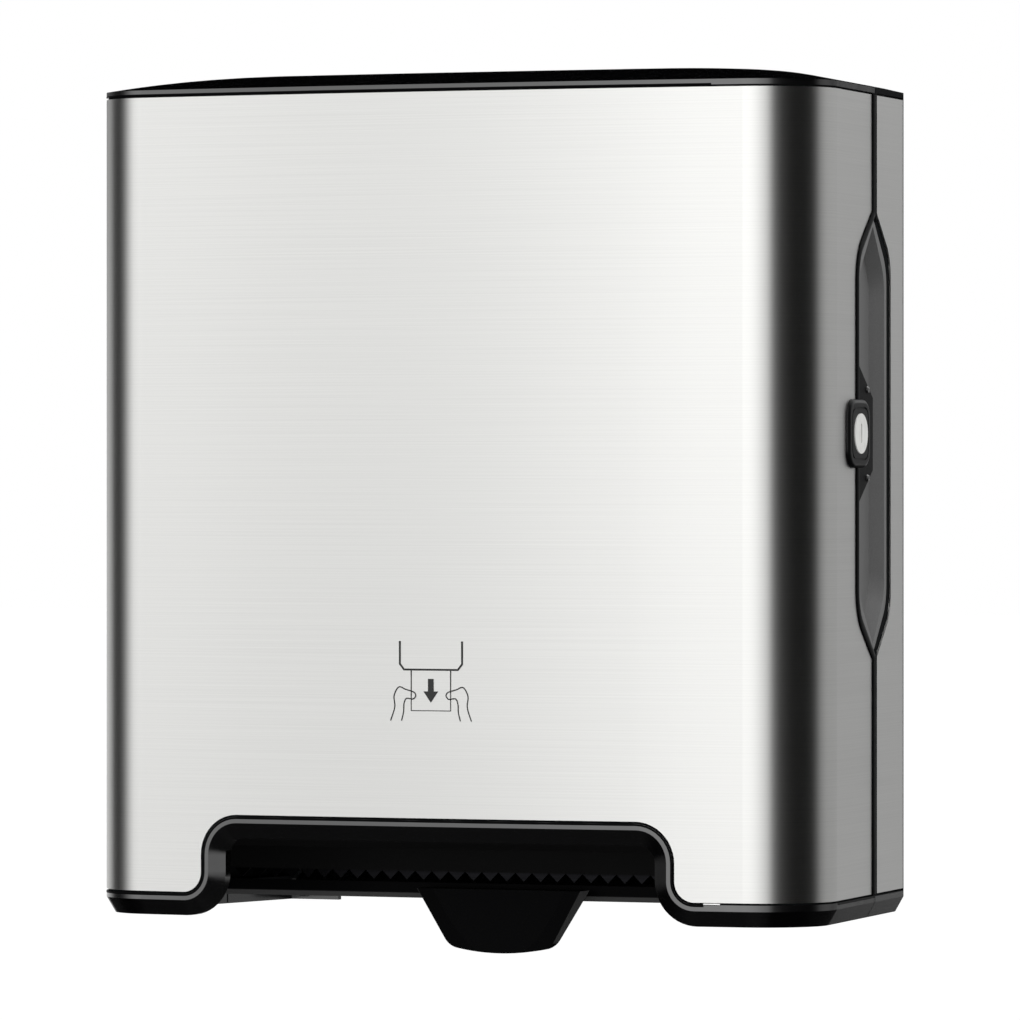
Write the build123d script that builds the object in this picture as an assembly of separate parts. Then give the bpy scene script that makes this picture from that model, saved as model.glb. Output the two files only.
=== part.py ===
"""Wall-mounted roll towel dispenser with a steel-clad swing cover and a lever-fed paper drum.

X runs to the right, Y runs back to the wall at zero and Z runs up. The origin is the centre of the
four wall screws on the rear face. All sizes are in millimetres and all angles in degrees.
"""

from build123d import *
import math
import os

# Clearances shared by all pieces
RUN_FIT = 0.05       # radial play of a shaft in its bore
BOND = 0.1           # glue line or push fit between fixed pieces
AIR = 0.4            # gap between pieces that pass each other
OVERRUN = 5.0        # how far a cut runs past the solid

# Housing plan: the sides draw in towards the wall and the front is bowed
BODY_D = 169.3
REAR_W = 311.4
SIDE_LEAN_ANGLE = 8.42
BOW_R = 1618.0
CORNER_R = 32.4
HOUSING_D = 55.0     # depth of the fixed rear part, wall to split
SPLIT_GAP = 1.0

# Housing heights
STEEL_H = 353.4
TRIM_BAND = 10.6     # plastic trim below the steel
GROOVE = 0.9         # shadow line between steel and plastic
CAP_STRIP = 2.4      # upright edge of the cap
DOME_RISE = 7.6
DOME_RUN = 60.0
DOME_SHARES = (0.0, 0.15, 0.35, 0.65, 1.0)

# Walls
SKIN_T = 0.8
SHELL_T = 2.2
BACK_T = 3.0
CAP_T = 2.4
TRIM_T = 9.0
LIP_W = 3.2          # plastic lip beside the split
REAR_LIP = 1.5       # plastic lip at the wall
BACK_RISE = 9.0      # lower edge of the back panel above the bottom
SKIRT_T = 2.0
SKIRT_H = 6.0

# Outlet notch in the steel and the bevel of the trim that follows it
NOTCH_HALF = 114.2
NOTCH_RISE = 34.7
NOTCH_TOP_R = 18.0
NOTCH_FOOT_R = 9.0
BEVEL_WIDE = 6.9
BEVEL_DEEP = 4.0

# Grip recess on the right side, measured along the wall from the split
LENS_AHEAD = 31.5
LENS_BEHIND = 27.0
LENS_TOP = 311.0     # height of the upper tip above the bottom
LENS_FOOT = 116.0
LENS_SLOPE = 22.0
LENS_R = 18.0
LENS_RIM = 3.5       # plastic rim between the recess and the steel
SCOOP_D = 9.0
SCOOP_FLOOR = 1.8
SCOOP_EDGE = 1.6
SCOOP_DROP = 1.0     # rim below the steel
SCOOP_GAP = 0.8
SCOOP_DRAFT = 6.0
SCOOP_LAP = 7.0
SCOOP_LAP_T = 2.0

# Cam lock in the cover beside the recess
LOCK_AHEAD = 39.0
LOCK_RISE = 214.0
LOCK_TILT_ANGLE = 5.0
BEZEL_W = 29.0
BEZEL_H = 30.0
BEZEL_R = 8.0
BEZEL_PROUD = 2.8
BEZEL_DEEP = 3.0
BEZEL_EDGE_R = 1.8
BEZEL_LINE_IN = 3.4   # groove round the lock, from the bezel's edge
BEZEL_LINE_W = 0.8
BEZEL_LINE_D = 0.6
BARREL_R = 8.8
BARREL_PROUD = 0.5
KEY_L = 9.0
KEY_W = 1.8
KEY_DEEP = 4.0
CASE_R = 12.0
CASE_DEEP = 20.0
PLATE_T = 2.4
PLATE_AHEAD = 21.0
PLATE_HALF = 32.0    # half height behind the steel
PLATE_TIP = 16.0     # half height at the split
PLATE_GAP = 1.6
PLATE_DROP = 0.6     # plate face below the steel
CAM_T = 3.0
CAM_HUB_R = 8.0
CAM_W = 9.0
CAM_REACH = 50.0
CAM_TIP = 3.6
CAM_HOOK = 4.0
KEEPER_T = 3.0
KEEPER_HALF = 6.0
KEEPER_DEEP = 15.5
KEEPER_PLAY = 3.4    # keeper to cam tip when locked
KEEPER_FOOT_L = 9.0
KEEPER_FOOT_HALF = 9.0
KEEPER_FOOT_T = 2.0

# Cover hinge on the left edge of the split
HINGE_OUT = 1.0
KNUCKLE_R = 3.5
HINGE_PIN_R = 1.8
KNUCKLE_L = 26.0
HINGE_INSET = 62.0   # hinge centres from the ends of the steel

# Wall screws
WALL_SPAN_X = 272.0
WALL_SPAN_Z = 250.0
WALL_HOLE_R = 2.75
BOSS_R = 8.0
BOSS_H = 6.0
RIB_T = 2.0
RIB_H = 4.0
RIB_HALF = 52.0
RIB_FOOT = 140.0
RIB_INSET = 28.0     # below the cap

# Self-tapping screws of the inner frame
SCREW_R = 1.75
SCREW_L = 5.0
HEAD_R = 3.5
HEAD_T = 2.2

# Paper drum
DRUM_RISE = 62.0
DRUM_OFF = 62.0      # axis in front of the wall
DRUM_R = 35.0
DRUM_WALL = 3.0
DRUM_L = 204.0
DRUM_SIDE_GAP = 4.0
SHAFT_R = 4.0
END_T = 5.0
END_HUB_R = 9.0
END_HOLE_R = 6.5
END_HOLES = 5
BAND_W = 12.0
BAND_SEAT = 1.2
BAND_PROUD = 0.4
BAND_PITCH = 40.0
BANDS = 5
WHEEL_R = 24.0
WHEEL_T = 9.0
WHEEL_GRIPS = 20
WHEEL_GRIP_R = 2.4
CLIP_R = 6.5
CLIP_T = 1.2
SHAFT_STUB = 1.5

# Cheeks of the feed frame
CHEEK_T = 3.0
CHEEK_TOP = 40.0     # above the drum axis
CHEEK_NOSE_R = 5.6
FOOT_W = 14.0
FOOT_T = 3.0
FOOT_HALF = 42.0
FOOT_SCREW = 33.0
BUSH_R = 7.0
BUSH_RIM = 2.5
BUSH_RIM_T = 1.2
TIE_W = 8.0
TIE_H = 5.0
TIE_INSET = 8.0

# Pinch roller behind the drum
PINCH_R = 8.0
PINCH_SHAFT_R = 3.0
PINCH_L = 56.0
PINCH_PITCH = 64.0
PINCHES = 3
PINCH_TRAVEL = 3.0
PINCH_STUB = 8.0
NIP_GAP = 0.3
LEAF_T = 0.8
LEAF_W = 6.0
LEAF_SEAT = 12.0
LEAF_TOP = 24.0
LEAF_TAIL = 7.0

# Guide under the drum and guard in front of it
CHUTE_GAP = 3.5
CHUTE_T = 2.2
CHUTE_REACH = 23.0   # lip in front of the drum axis
CHUTE_DROP = 49.0    # lip below the drum axis
CHUTE_NOSE = 7.0     # upright face of the lip
CHUTE_NOSE_T = 3.0
CHUTE_START_ANGLE = -22.0
CHUTE_LEAVE_ANGLE = -90.0
GUARD_GAP = 6.5
GUARD_T = 2.5
GUARD_START_ANGLE = 95.0
GUARD_END_ANGLE = 230.0
GUARD_SKIRT = 10.0
GUARD_HALF = 141.0
BLADE_T = 1.0
BLADE_TOP = 6.0
TOOTH_DROP = 4.0
TOOTH_PITCH = 8.2
BLADE_TEETH = 33

# Feed lever, toothed sector and clutch pinion
GEAR_MODULE = 1.5
SECTOR_TEETH = 46
PINION_TEETH = 24
PRESSURE_ANGLE = 20.0
BACKLASH = 0.3
DEDENDUM_SHARE = 1.25
FLANK_SHARES = (0.0, 0.5, 1.0)
GEAR_T = 6.0
SECTOR_START_ANGLE = 40.0
SECTOR_END_ANGLE = 92.0
SECTOR_HUB_R = 5.6
CLUTCH_R = 8.0
LEVER_AHEAD = 10.0   # lever axis in front of the drum axis
LEVER_SHAFT_R = 3.2
LEVER_HUB_R = 5.0
PADDLE_TOP_W = 80.0
PADDLE_TIP_W = 50.0
PADDLE_RISE = 0.5    # top edge above the lever axis
PADDLE_DROP = 25.0   # lower corners below the lever axis
PADDLE_BELLY = 3.0
PADDLE_R = 9.0
PADDLE_FRONT = 25.0  # front face ahead of the lever axis
PADDLE_TOP_D = 10.0
PADDLE_TIP_D = 4.0
PADDLE_LEAN = 2.0
DISH_R = 260.0
DISH_D = 2.0
ARM_TOP = 4.0        # top of the lever arm below the lever axis
ARM_D = 5.0
ARM_AIR = 1.5        # room round the arm where it passes the lip

# Roll arms and hubs
ROLL_RISE = 225.0
ROLL_OFF = 82.0
ROLL_W = 200.0
ROLL_SIDE_GAP = 0.6
HUB_COLLAR_R = 22.0
HUB_COLLAR_T = 4.0
HUB_R = 18.0
HUB_TIP_R = 15.5
HUB_L = 11.0
HUB_PIN_R = 5.0
HUB_PIN_L = 10.0
ROLL_ARM_T = 4.0
ROLL_ARM_END_R = 15.0
ROLL_ARM_ROOT = 32.0
ROLL_ARM_FOOT_W = 16.0
ROLL_ARM_FOOT_T = 3.0
ROLL_ARM_SCREW = 22.0
PIVOT_OFF = 8.0      # arm pivot in front of the back panel
PIVOT_R = 4.5
PIVOT_PIN_R = 2.5
PIVOT_LUG_T = 5.0

# Levels and planes that follow from the sizes above
CAP_H = GROOVE + CAP_STRIP + DOME_RISE
BODY_H = TRIM_BAND + STEEL_H + CAP_H
Z_BOTTOM = -BODY_H / 2
Z_STEEL = Z_BOTTOM + TRIM_BAND
Z_STEEL_TOP = Z_STEEL + STEEL_H
Z_CAP = Z_STEEL_TOP + GROOVE
Z_STRIP = Z_CAP + CAP_STRIP
WALL_T = SKIN_T + BOND + SHELL_T
FAR = BODY_D + REAR_W
COVER_BACK = -HOUSING_D - SPLIT_GAP / 2
HOUSING_FRONT = -HOUSING_D + SPLIT_GAP / 2
BACK_Y = -BACK_T
LEAN_SIN = math.sin(math.radians(SIDE_LEAN_ANGLE))
LEAN_COS = math.cos(math.radians(SIDE_LEAN_ANGLE))
BOW_Y = BOW_R - BODY_D
SPLIT_X = REAR_W / 2 + HOUSING_D * LEAN_SIN / LEAN_COS
SIDE = Plane(origin=(SPLIT_X, -HOUSING_D, 0), x_dir=(-LEAN_SIN, LEAN_COS, 0), z_dir=(LEAN_COS, LEAN_SIN, 0))
LOCK_TURN = math.radians(SIDE_LEAN_ANGLE - LOCK_TILT_ANGLE)
LOCK = Plane(
    origin=SIDE.from_local_coords((-LOCK_AHEAD, Z_BOTTOM + LOCK_RISE, 0)),
    x_dir=(-math.sin(LOCK_TURN), math.cos(LOCK_TURN), 0),
    z_dir=(math.cos(LOCK_TURN), math.sin(LOCK_TURN), 0),
)
DRUM_Y = -DRUM_OFF
DRUM_Z = Z_BOTTOM + DRUM_RISE
CHEEK_IN = DRUM_L / 2 + DRUM_SIDE_GAP
CHEEK_OUT = CHEEK_IN + CHEEK_T
GEAR_IN = CHEEK_OUT + BUSH_RIM_T + AIR
GEAR_OUT = GEAR_IN + GEAR_T
PINCH_Y = DRUM_Y + DRUM_R + BAND_PROUD + NIP_GAP + PINCH_R
GEAR_SPAN = (SECTOR_TEETH + PINION_TEETH) * GEAR_MODULE / 2
LEVER_Y = DRUM_Y - LEVER_AHEAD
LEVER_Z = DRUM_Z - math.sqrt(GEAR_SPAN ** 2 - LEVER_AHEAD ** 2)
CHUTE_R = DRUM_R + CHUTE_GAP
GUARD_R = DRUM_R + GUARD_GAP
HINGE_X = -SPLIT_X - HINGE_OUT
HINGE_LEVELS = (Z_STEEL + HINGE_INSET, Z_STEEL_TOP - HINGE_INSET)
ROLL_Y = -ROLL_OFF
ROLL_Z = Z_BOTTOM + ROLL_RISE
ROLL_ARM_IN = ROLL_W / 2 + ROLL_SIDE_GAP + HUB_COLLAR_T + AIR
ROLL_ARM_OUT = ROLL_ARM_IN + ROLL_ARM_T
PIVOT_X = ROLL_ARM_IN + ROLL_ARM_T / 2
PIVOT_Y = BACK_Y - PIVOT_OFF


def span_box(x0, x1, y0, y1, z0, z1):
    """Box between two opposite corners."""
    return Pos((x0 + x1) / 2, (y0 + y1) / 2, (z0 + z1) / 2) * Box(x1 - x0, y1 - y0, z1 - z0)


def between_y(y0, y1):
    """Slice of space between two depths."""
    return span_box(-FAR, FAR, y0, y1, -FAR, FAR)


def rod_x(radius, x0, x1, y, z):
    """Round bar along X."""
    return Pos((x0 + x1) / 2, y, z) * Rot(0, 90, 0) * Cylinder(radius, x1 - x0)


def rod_y(radius, x, z, y0, y1):
    """Round bar along Y."""
    return Pos(x, (y0 + y1) / 2, z) * Rot(90, 0, 0) * Cylinder(radius, y1 - y0)


def rod_z(radius, x, y, z0, z1):
    """Round bar along Z."""
    return Pos(x, y, (z0 + z1) / 2) * Cylinder(radius, z1 - z0)


def prism_x(face, x0, x1):
    """Face drawn in Y and Z, swept along X."""
    return extrude(Plane.YZ.offset(x0) * face, amount=x1 - x0)


def prism_y(face, y0, y1):
    """Face drawn in X and Z, swept along Y."""
    return extrude(Plane.XZ.offset(-y1) * face, amount=y1 - y0)


def prism_z(face, z0, z1):
    """Face drawn in X and Y, swept along Z."""
    return extrude(Pos(0, 0, z0) * face, amount=z1 - z0)


def prism_on(plane, face, d0, d1):
    """Face drawn in a plane, swept between two distances from it."""
    return extrude(plane.offset(d0) * face, amount=d1 - d0)


def polar(centre, radius, degrees):
    """Point on a circle."""
    angle = math.radians(degrees)
    return (centre[0] + radius * math.cos(angle), centre[1] + radius * math.sin(angle))


def planform(inset, back_y=0.0, corner=None):
    """Plan outline of the housing drawn in by inset, closed by a straight edge at back_y."""
    corner = CORNER_R - inset if corner is None else corner
    reach = BOW_R - inset
    ahead = Vector(LEAN_SIN, -LEAN_COS)
    outward = Vector(LEAN_COS, LEAN_SIN)
    bow_centre = Vector(0, BOW_Y)
    start = Vector(REAR_W / 2, 0) - outward * (inset + corner)
    gap = start - bow_centre
    along = gap.dot(ahead)
    run = math.sqrt(along ** 2 - gap.dot(gap) + (reach - corner) ** 2) - along
    centre = start + ahead * run
    to_front = (centre - bow_centre).normalized()
    side = centre + outward * corner
    middle = centre + (outward + to_front).normalized() * corner
    join = bow_centre + to_front * reach
    back = side - ahead * ((side.Y - back_y) / ahead.Y)
    flip = [Vector(-point.X, point.Y) for point in (join, middle, side, back)]
    nose = Vector(0, -BODY_D + inset)
    return make_face([
        Line(back, side),
        ThreePointArc(side, middle, join),
        ThreePointArc(join, nose, flip[0]),
        ThreePointArc(flip[0], flip[1], flip[2]),
        Line(flip[2], flip[3]),
        Line(flip[3], back),
    ])


def wall_strip(outer, inner, z0, z1, y0, y1):
    """Upright wall between two insets of the plan, kept between two depths."""
    ring = prism_z(planform(outer, OVERRUN), z0, z1)
    ring -= prism_z(planform(inner, 2 * OVERRUN), z0 - OVERRUN, z1 + OVERRUN)
    return ring & between_y(y0, y1)


def below_steel(offset):
    """Everything below the lower edge of the steel, outlet notch included, moved down by offset."""
    half = NOTCH_HALF - offset
    foot = Z_STEEL - offset
    top = Z_STEEL + NOTCH_RISE - offset
    top_r = NOTCH_TOP_R - offset
    foot_r = NOTCH_FOOT_R + offset
    low = Z_BOTTOM - NOTCH_RISE
    return make_face([
        Line((-FAR, low), (FAR, low)),
        Line((FAR, low), (FAR, foot)),
        Line((FAR, foot), (half + foot_r, foot)),
        CenterArc((half + foot_r, foot + foot_r), foot_r, 180, 90),
        Line((half, foot + foot_r), (half, top - top_r)),
        CenterArc((half - top_r, top - top_r), top_r, 0, 90),
        Line((half - top_r, top), (top_r - half, top)),
        CenterArc((top_r - half, top - top_r), top_r, 90, 90),
        Line((-half, top - top_r), (-half, foot + foot_r)),
        CenterArc((-half - foot_r, foot + foot_r), foot_r, 270, 90),
        Line((-half - foot_r, foot), (-FAR, foot)),
        Line((-FAR, foot), (-FAR, low)),
    ])


def lens(grow):
    """Pointed outline of the grip recess, grown on all sides."""
    top = Z_BOTTOM + LENS_TOP + grow
    foot = Z_BOTTOM + LENS_FOOT - grow
    ahead = -LENS_AHEAD - grow
    behind = LENS_BEHIND + grow
    outline = make_face(Polyline(
        (0, top), (behind, top - LENS_SLOPE), (behind, foot + LENS_SLOPE),
        (0, foot), (ahead, foot + LENS_SLOPE), (ahead, top - LENS_SLOPE), close=True,
    ))
    shoulders = [v for v in outline.vertices() if abs(v.X) > LENS_RIM]
    return fillet(shoulders, LENS_R)


def dome(inset, drop):
    """Shallow crown of the cap, drawn in and lowered for its hollow side."""
    sections = []
    for share in DOME_SHARES:
        rise = DOME_RISE * (1 - (1 - share) ** 2)
        face = planform(inset + DOME_RUN * share, 0.0, CORNER_R)
        sections.append(Pos(0, 0, Z_STRIP - drop + rise) * face)
    return loft(sections)


def cap_blank():
    """Whole cap before it is split into a cover half and a fixed half."""
    return prism_z(planform(0), Z_CAP, Z_STRIP) + dome(0, 0)


def cap_hollow():
    """Room under the cap."""
    return prism_z(planform(TRIM_T), Z_CAP - OVERRUN, Z_STRIP - CAP_T) + dome(TRIM_T, CAP_T)


def knuckle_spans(upper):
    """Lower and upper end of each hinge barrel on one leaf."""
    if upper:
        return [(level + AIR / 2, level + AIR / 2 + KNUCKLE_L) for level in HINGE_LEVELS]
    return [(level - AIR / 2 - KNUCKLE_L, level - AIR / 2) for level in HINGE_LEVELS]


def knuckles(upper):
    """Hinge barrels of one leaf."""
    return [rod_z(KNUCKLE_R, HINGE_X, -HOUSING_D, low, high) for low, high in knuckle_spans(upper)]


def knuckle_room(upper):
    """Room that the barrels of one leaf turn in."""
    return [
        rod_z(KNUCKLE_R + AIR, HINGE_X, -HOUSING_D, low - AIR, high + AIR)
        for low, high in knuckle_spans(upper)
    ]


def hinge_pins(play=0.0, overrun=0.0):
    """Two steel hinge pins, or their bores when given play and overrun."""
    reach = KNUCKLE_L + overrun
    return [
        rod_z(HINGE_PIN_R + play, HINGE_X, -HOUSING_D, level - reach, level + reach)
        for level in HINGE_LEVELS
    ]


def bezel_outline(grow):
    """Rounded outline of the lock bezel."""
    return RectangleRounded(BEZEL_W + 2 * grow, BEZEL_H + 2 * grow, BEZEL_R + grow)


def bezel_hole():
    """Opening in the cover wall that the bezel fills."""
    return prism_on(LOCK, bezel_outline(BOND), -BEZEL_DEEP - OVERRUN, BEZEL_PROUD)


def cover_skin():
    """Brushed steel front with its two returns."""
    skin = wall_strip(0, SKIN_T, Z_STEEL, Z_STEEL_TOP, -FAR, COVER_BACK - LIP_W)
    skin -= prism_y(below_steel(0), -FAR, COVER_BACK)
    skin -= prism_on(SIDE, lens(LENS_RIM), -LENS_AHEAD, OVERRUN)
    for room in knuckle_room(True) + knuckle_room(False):
        skin -= room
    return skin - bezel_hole()


def cover_shell():
    """Moulded liner behind the steel, with the lip at the split and the upper hinge barrels."""
    shell = wall_strip(SKIN_T + BOND, WALL_T, Z_STEEL - GROOVE, Z_CAP, -FAR, COVER_BACK)
    shell += wall_strip(0, WALL_T, Z_STEEL - GROOVE, Z_CAP, COVER_BACK - LIP_W, COVER_BACK)
    shell -= prism_y(below_steel(GROOVE), -FAR, COVER_BACK + OVERRUN)
    shell -= prism_on(SIDE, lens(0), -LENS_AHEAD, OVERRUN)
    shell -= bezel_hole()
    shell -= prism_on(SIDE, plate_outline(BOND), -WALL_T - PLATE_T - BOND, -WALL_T)
    shell -= prism_on(LOCK, Circle(CASE_R + AIR), -CASE_DEEP - OVERRUN, -BEZEL_DEEP)
    for room in knuckle_room(False):
        shell -= room
    for barrel in knuckles(True):
        shell += barrel
    for bore in hinge_pins(RUN_FIT, OVERRUN):
        shell -= bore
    return shell


def top_cap():
    """Front half of the cap, crowned and hollow, with a skirt inside the liner."""
    cap = cap_blank() & between_y(-FAR, COVER_BACK)
    cap -= cap_hollow() & between_y(-FAR, COVER_BACK - TRIM_T)
    skirt_in = WALL_T + BOND
    return cap + wall_strip(skirt_in, skirt_in + SKIRT_T, Z_CAP - SKIRT_H, Z_CAP, -FAR, COVER_BACK - LIP_W)


def bottom_trim():
    """Bevelled lower trim that runs round the outlet."""
    top = Z_STEEL + NOTCH_RISE
    trim = wall_strip(0, TRIM_T, Z_BOTTOM, top, -FAR, COVER_BACK)
    trim &= prism_y(below_steel(GROOVE), -FAR, COVER_BACK + OVERRUN)
    trim -= prism_y(below_steel(TRIM_BAND), -FAR, COVER_BACK + OVERRUN)
    front = trim.faces().filter_by(GeomType.CYLINDER).sort_by(lambda f: f.center().Y)[0]
    edge = front.edges().sort_by(lambda e: abs(e.center().Z - (top - TRIM_BAND)) + abs(e.center().X))[0]
    return trim.chamfer(BEVEL_WIDE, BEVEL_DEEP, [edge], front)


def lock_bezel():
    """Rounded frame round the lock, with a fine groove on its face."""
    bezel = prism_on(LOCK, bezel_outline(0), -BEZEL_DEEP, BEZEL_PROUD)
    rim = bezel.faces().sort_by(lambda f: LOCK.to_local_coords(f.center()).Z)[-1]
    bezel = fillet(rim.edges(), BEZEL_EDGE_R)
    groove = bezel_outline(-BEZEL_LINE_IN) - bezel_outline(-BEZEL_LINE_IN - BEZEL_LINE_W)
    bezel -= prism_on(LOCK, groove, BEZEL_PROUD - BEZEL_LINE_D, BEZEL_PROUD + OVERRUN)
    return bezel - prism_on(LOCK, Circle(BARREL_R + RUN_FIT), -FAR, FAR)


def plate_outline(grow):
    """Wedge outline of the lock plate, from behind the steel to the split."""
    middle = Z_BOTTOM + LOCK_RISE
    front = -LOCK_AHEAD - PLATE_AHEAD
    rear = grow - PLATE_GAP
    half = PLATE_HALF + grow
    tip = PLATE_TIP + grow
    return make_face(Polyline(
        (front, middle + half), (-LENS_AHEAD, middle + half), (rear, middle + tip),
        (rear, middle - tip), (-LENS_AHEAD, middle - half), (front, middle - half), close=True,
    ))


def lock_case():
    """Plate that fills the front of the grip recess round the lock, with the lock's sleeve behind it."""
    case = prism_on(SIDE, plate_outline(0), -WALL_T - PLATE_T, -WALL_T)
    case += prism_on(SIDE, plate_outline(0) & lens(-BOND), -WALL_T, -PLATE_DROP)
    case += prism_on(LOCK, Circle(CASE_R), -CASE_DEEP, -BEZEL_DEEP)
    case -= prism_on(LOCK, bezel_outline(BOND), -BEZEL_DEEP, FAR)
    return case - prism_on(LOCK, Circle(BARREL_R + RUN_FIT), -FAR, FAR)


def lock_barrel():
    """Turning barrel with a key slot and a squared tail for the cam."""
    barrel = prism_on(LOCK, Circle(BARREL_R), -CASE_DEEP - AIR, BEZEL_PROUD + BARREL_PROUD)
    face = BEZEL_PROUD + BARREL_PROUD
    barrel -= prism_on(LOCK, SlotOverall(KEY_L, KEY_W, 90), face - KEY_DEEP, face + OVERRUN)
    return barrel + prism_on(LOCK, Rectangle(BARREL_R, BARREL_R), -CASE_DEEP - AIR - CAM_T, -CASE_DEEP - AIR)


def lock_cam():
    """Hooked cam that swings behind the keeper."""
    back = -CASE_DEEP - AIR - CAM_T
    arm = Circle(CAM_HUB_R) + Pos(0, -CAM_REACH / 2) * Rectangle(CAM_W, CAM_REACH)
    cam = prism_on(LOCK, arm, back, back + CAM_T)
    tip = Pos(0, -CAM_REACH + CAM_TIP / 2) * Rectangle(CAM_W, CAM_TIP)
    cam += prism_on(LOCK, tip, back, back + CAM_T + CAM_HOOK)
    return cam - prism_on(LOCK, Rectangle(BARREL_R + BOND, BARREL_R + BOND), back - OVERRUN, back + CAM_T)


def keeper():
    """Steel keeper on the back of the grip recess."""
    rear = CAM_REACH - CAM_TIP - KEEPER_PLAY - LOCK_AHEAD
    middle = Z_BOTTOM + LOCK_RISE
    post = Pos(rear - KEEPER_T / 2, middle) * Rectangle(KEEPER_T, 2 * KEEPER_HALF)
    foot = Pos(rear - KEEPER_T + KEEPER_FOOT_L / 2, middle) * Rectangle(KEEPER_FOOT_L, 2 * KEEPER_FOOT_HALF)
    angle = prism_on(SIDE, foot, -SCOOP_D - KEEPER_FOOT_T, -SCOOP_D)
    return angle + prism_on(SIDE, post, -KEEPER_DEEP, -SCOOP_D)


def grip_scoop():
    """Dished finger recess on the fixed part, cut away in front for the lock."""
    scoop = prism_on(SIDE, lens(-SCOOP_GAP), -SCOOP_D, -SCOOP_DROP)
    scoop -= loft([
        SIDE.offset(OVERRUN - SCOOP_DROP) * lens(-SCOOP_GAP - SCOOP_EDGE),
        SIDE.offset(SCOOP_FLOOR - SCOOP_D) * lens(-SCOOP_GAP - SCOOP_EDGE - SCOOP_DRAFT),
    ])
    lap = prism_on(SIDE, lens(SCOOP_LAP), -WALL_T - SCOOP_LAP_T, -WALL_T)
    lap -= prism_on(SIDE, lens(-SCOOP_GAP - SCOOP_EDGE), -FAR, FAR)
    scoop += lap & between_y(HOUSING_FRONT + LIP_W, BACK_Y)
    return scoop - prism_on(SIDE, plate_outline(SCOOP_GAP), -FAR, FAR)


def screw(x, z, seat_y):
    """Pan-head screw driven towards the wall."""
    body = rod_y(SCREW_R, x, z, seat_y, seat_y + SCREW_L)
    return body + rod_y(HEAD_R, x, z, seat_y - HEAD_T, seat_y)


def frame_screw_places():
    """Screw centres of the cheeks and the roll arms, with the depth of their seats."""
    cheek_x = CHEEK_OUT + FOOT_W / 2
    arm_x = ROLL_ARM_OUT + ROLL_ARM_FOOT_W / 2
    places = []
    for side in (-1, 1):
        for step in (-1, 1):
            places.append((side * cheek_x, DRUM_Z + step * FOOT_SCREW, BACK_Y - FOOT_T))
            places.append((side * arm_x, ROLL_Z + step * ROLL_ARM_SCREW, BACK_Y - ROLL_ARM_FOOT_T))
    return places


def screw_holes():
    """Clearance holes for the frame screws."""
    return [
        rod_y(SCREW_R + RUN_FIT, x, z, seat - OVERRUN, seat + SCREW_L)
        for x, z, seat in frame_screw_places()
    ]


def wall_screw_places():
    """Centres of the wall screws."""
    return [(i * WALL_SPAN_X / 2, k * WALL_SPAN_Z / 2) for i in (-1, 1) for k in (-1, 1)]


def rear_shell():
    """Fixed rear tray, open below, with its half of the cap, wall bosses, ribs and lower hinge barrels."""
    shell = prism_z(planform(0), Z_BOTTOM, Z_CAP) + cap_blank()
    shell &= between_y(HOUSING_FRONT, 0)
    for side in (-1, 1):
        flank = shell.faces().sort_by(lambda f: side * f.center().X)[-1]
        low = flank.edges().sort_by(lambda e: e.center().Z)[0]
        shell = shell.chamfer(BEVEL_WIDE, BEVEL_DEEP, [low], flank)
    room = prism_z(planform(WALL_T), Z_STEEL, Z_STRIP - CAP_T) + dome(TRIM_T, CAP_T)
    room += prism_z(planform(TRIM_T), Z_BOTTOM - OVERRUN, Z_STEEL)
    shell -= room & between_y(-FAR, BACK_Y)
    half = NOTCH_HALF + NOTCH_FOOT_R
    shell -= span_box(-half, half, BACK_Y - OVERRUN, OVERRUN, Z_BOTTOM - OVERRUN, Z_BOTTOM + BACK_RISE)
    shell -= wall_strip(-OVERRUN, SKIN_T + BOND, Z_STEEL - GROOVE, Z_CAP, HOUSING_FRONT + LIP_W, -REAR_LIP)
    for x, z in wall_screw_places():
        shell += rod_y(BOSS_R, x, z, BACK_Y - BOSS_H, BACK_Y)
    for x in (-RIB_HALF, RIB_HALF):
        shell += span_box(
            x - RIB_T / 2, x + RIB_T / 2, BACK_Y - RIB_H, BACK_Y, Z_BOTTOM + RIB_FOOT, Z_CAP - RIB_INSET
        )
    for x, z in wall_screw_places():
        shell -= rod_y(WALL_HOLE_R, x, z, BACK_Y - BOSS_H - OVERRUN, OVERRUN)
    for hole in screw_holes():
        shell -= hole
    shell -= prism_on(SIDE, lens(0), -LENS_BEHIND, OVERRUN)
    for room in knuckle_room(True):
        shell -= room
    for barrel in knuckles(False):
        shell += barrel
    for bore in hinge_pins(RUN_FIT, OVERRUN):
        shell -= bore
    return shell


def rear_skin(side):
    """Steel strip on one side of the rear tray."""
    skin = wall_strip(0, SKIN_T, Z_STEEL, Z_STEEL_TOP, HOUSING_FRONT + LIP_W, -REAR_LIP)
    skin &= span_box(min(0, side * FAR), max(0, side * FAR), -FAR, FAR, -FAR, FAR)
    for room in knuckle_room(True) + knuckle_room(False):
        skin -= room
    return skin - prism_on(SIDE, lens(LENS_RIM), -LENS_BEHIND, OVERRUN)


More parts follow.
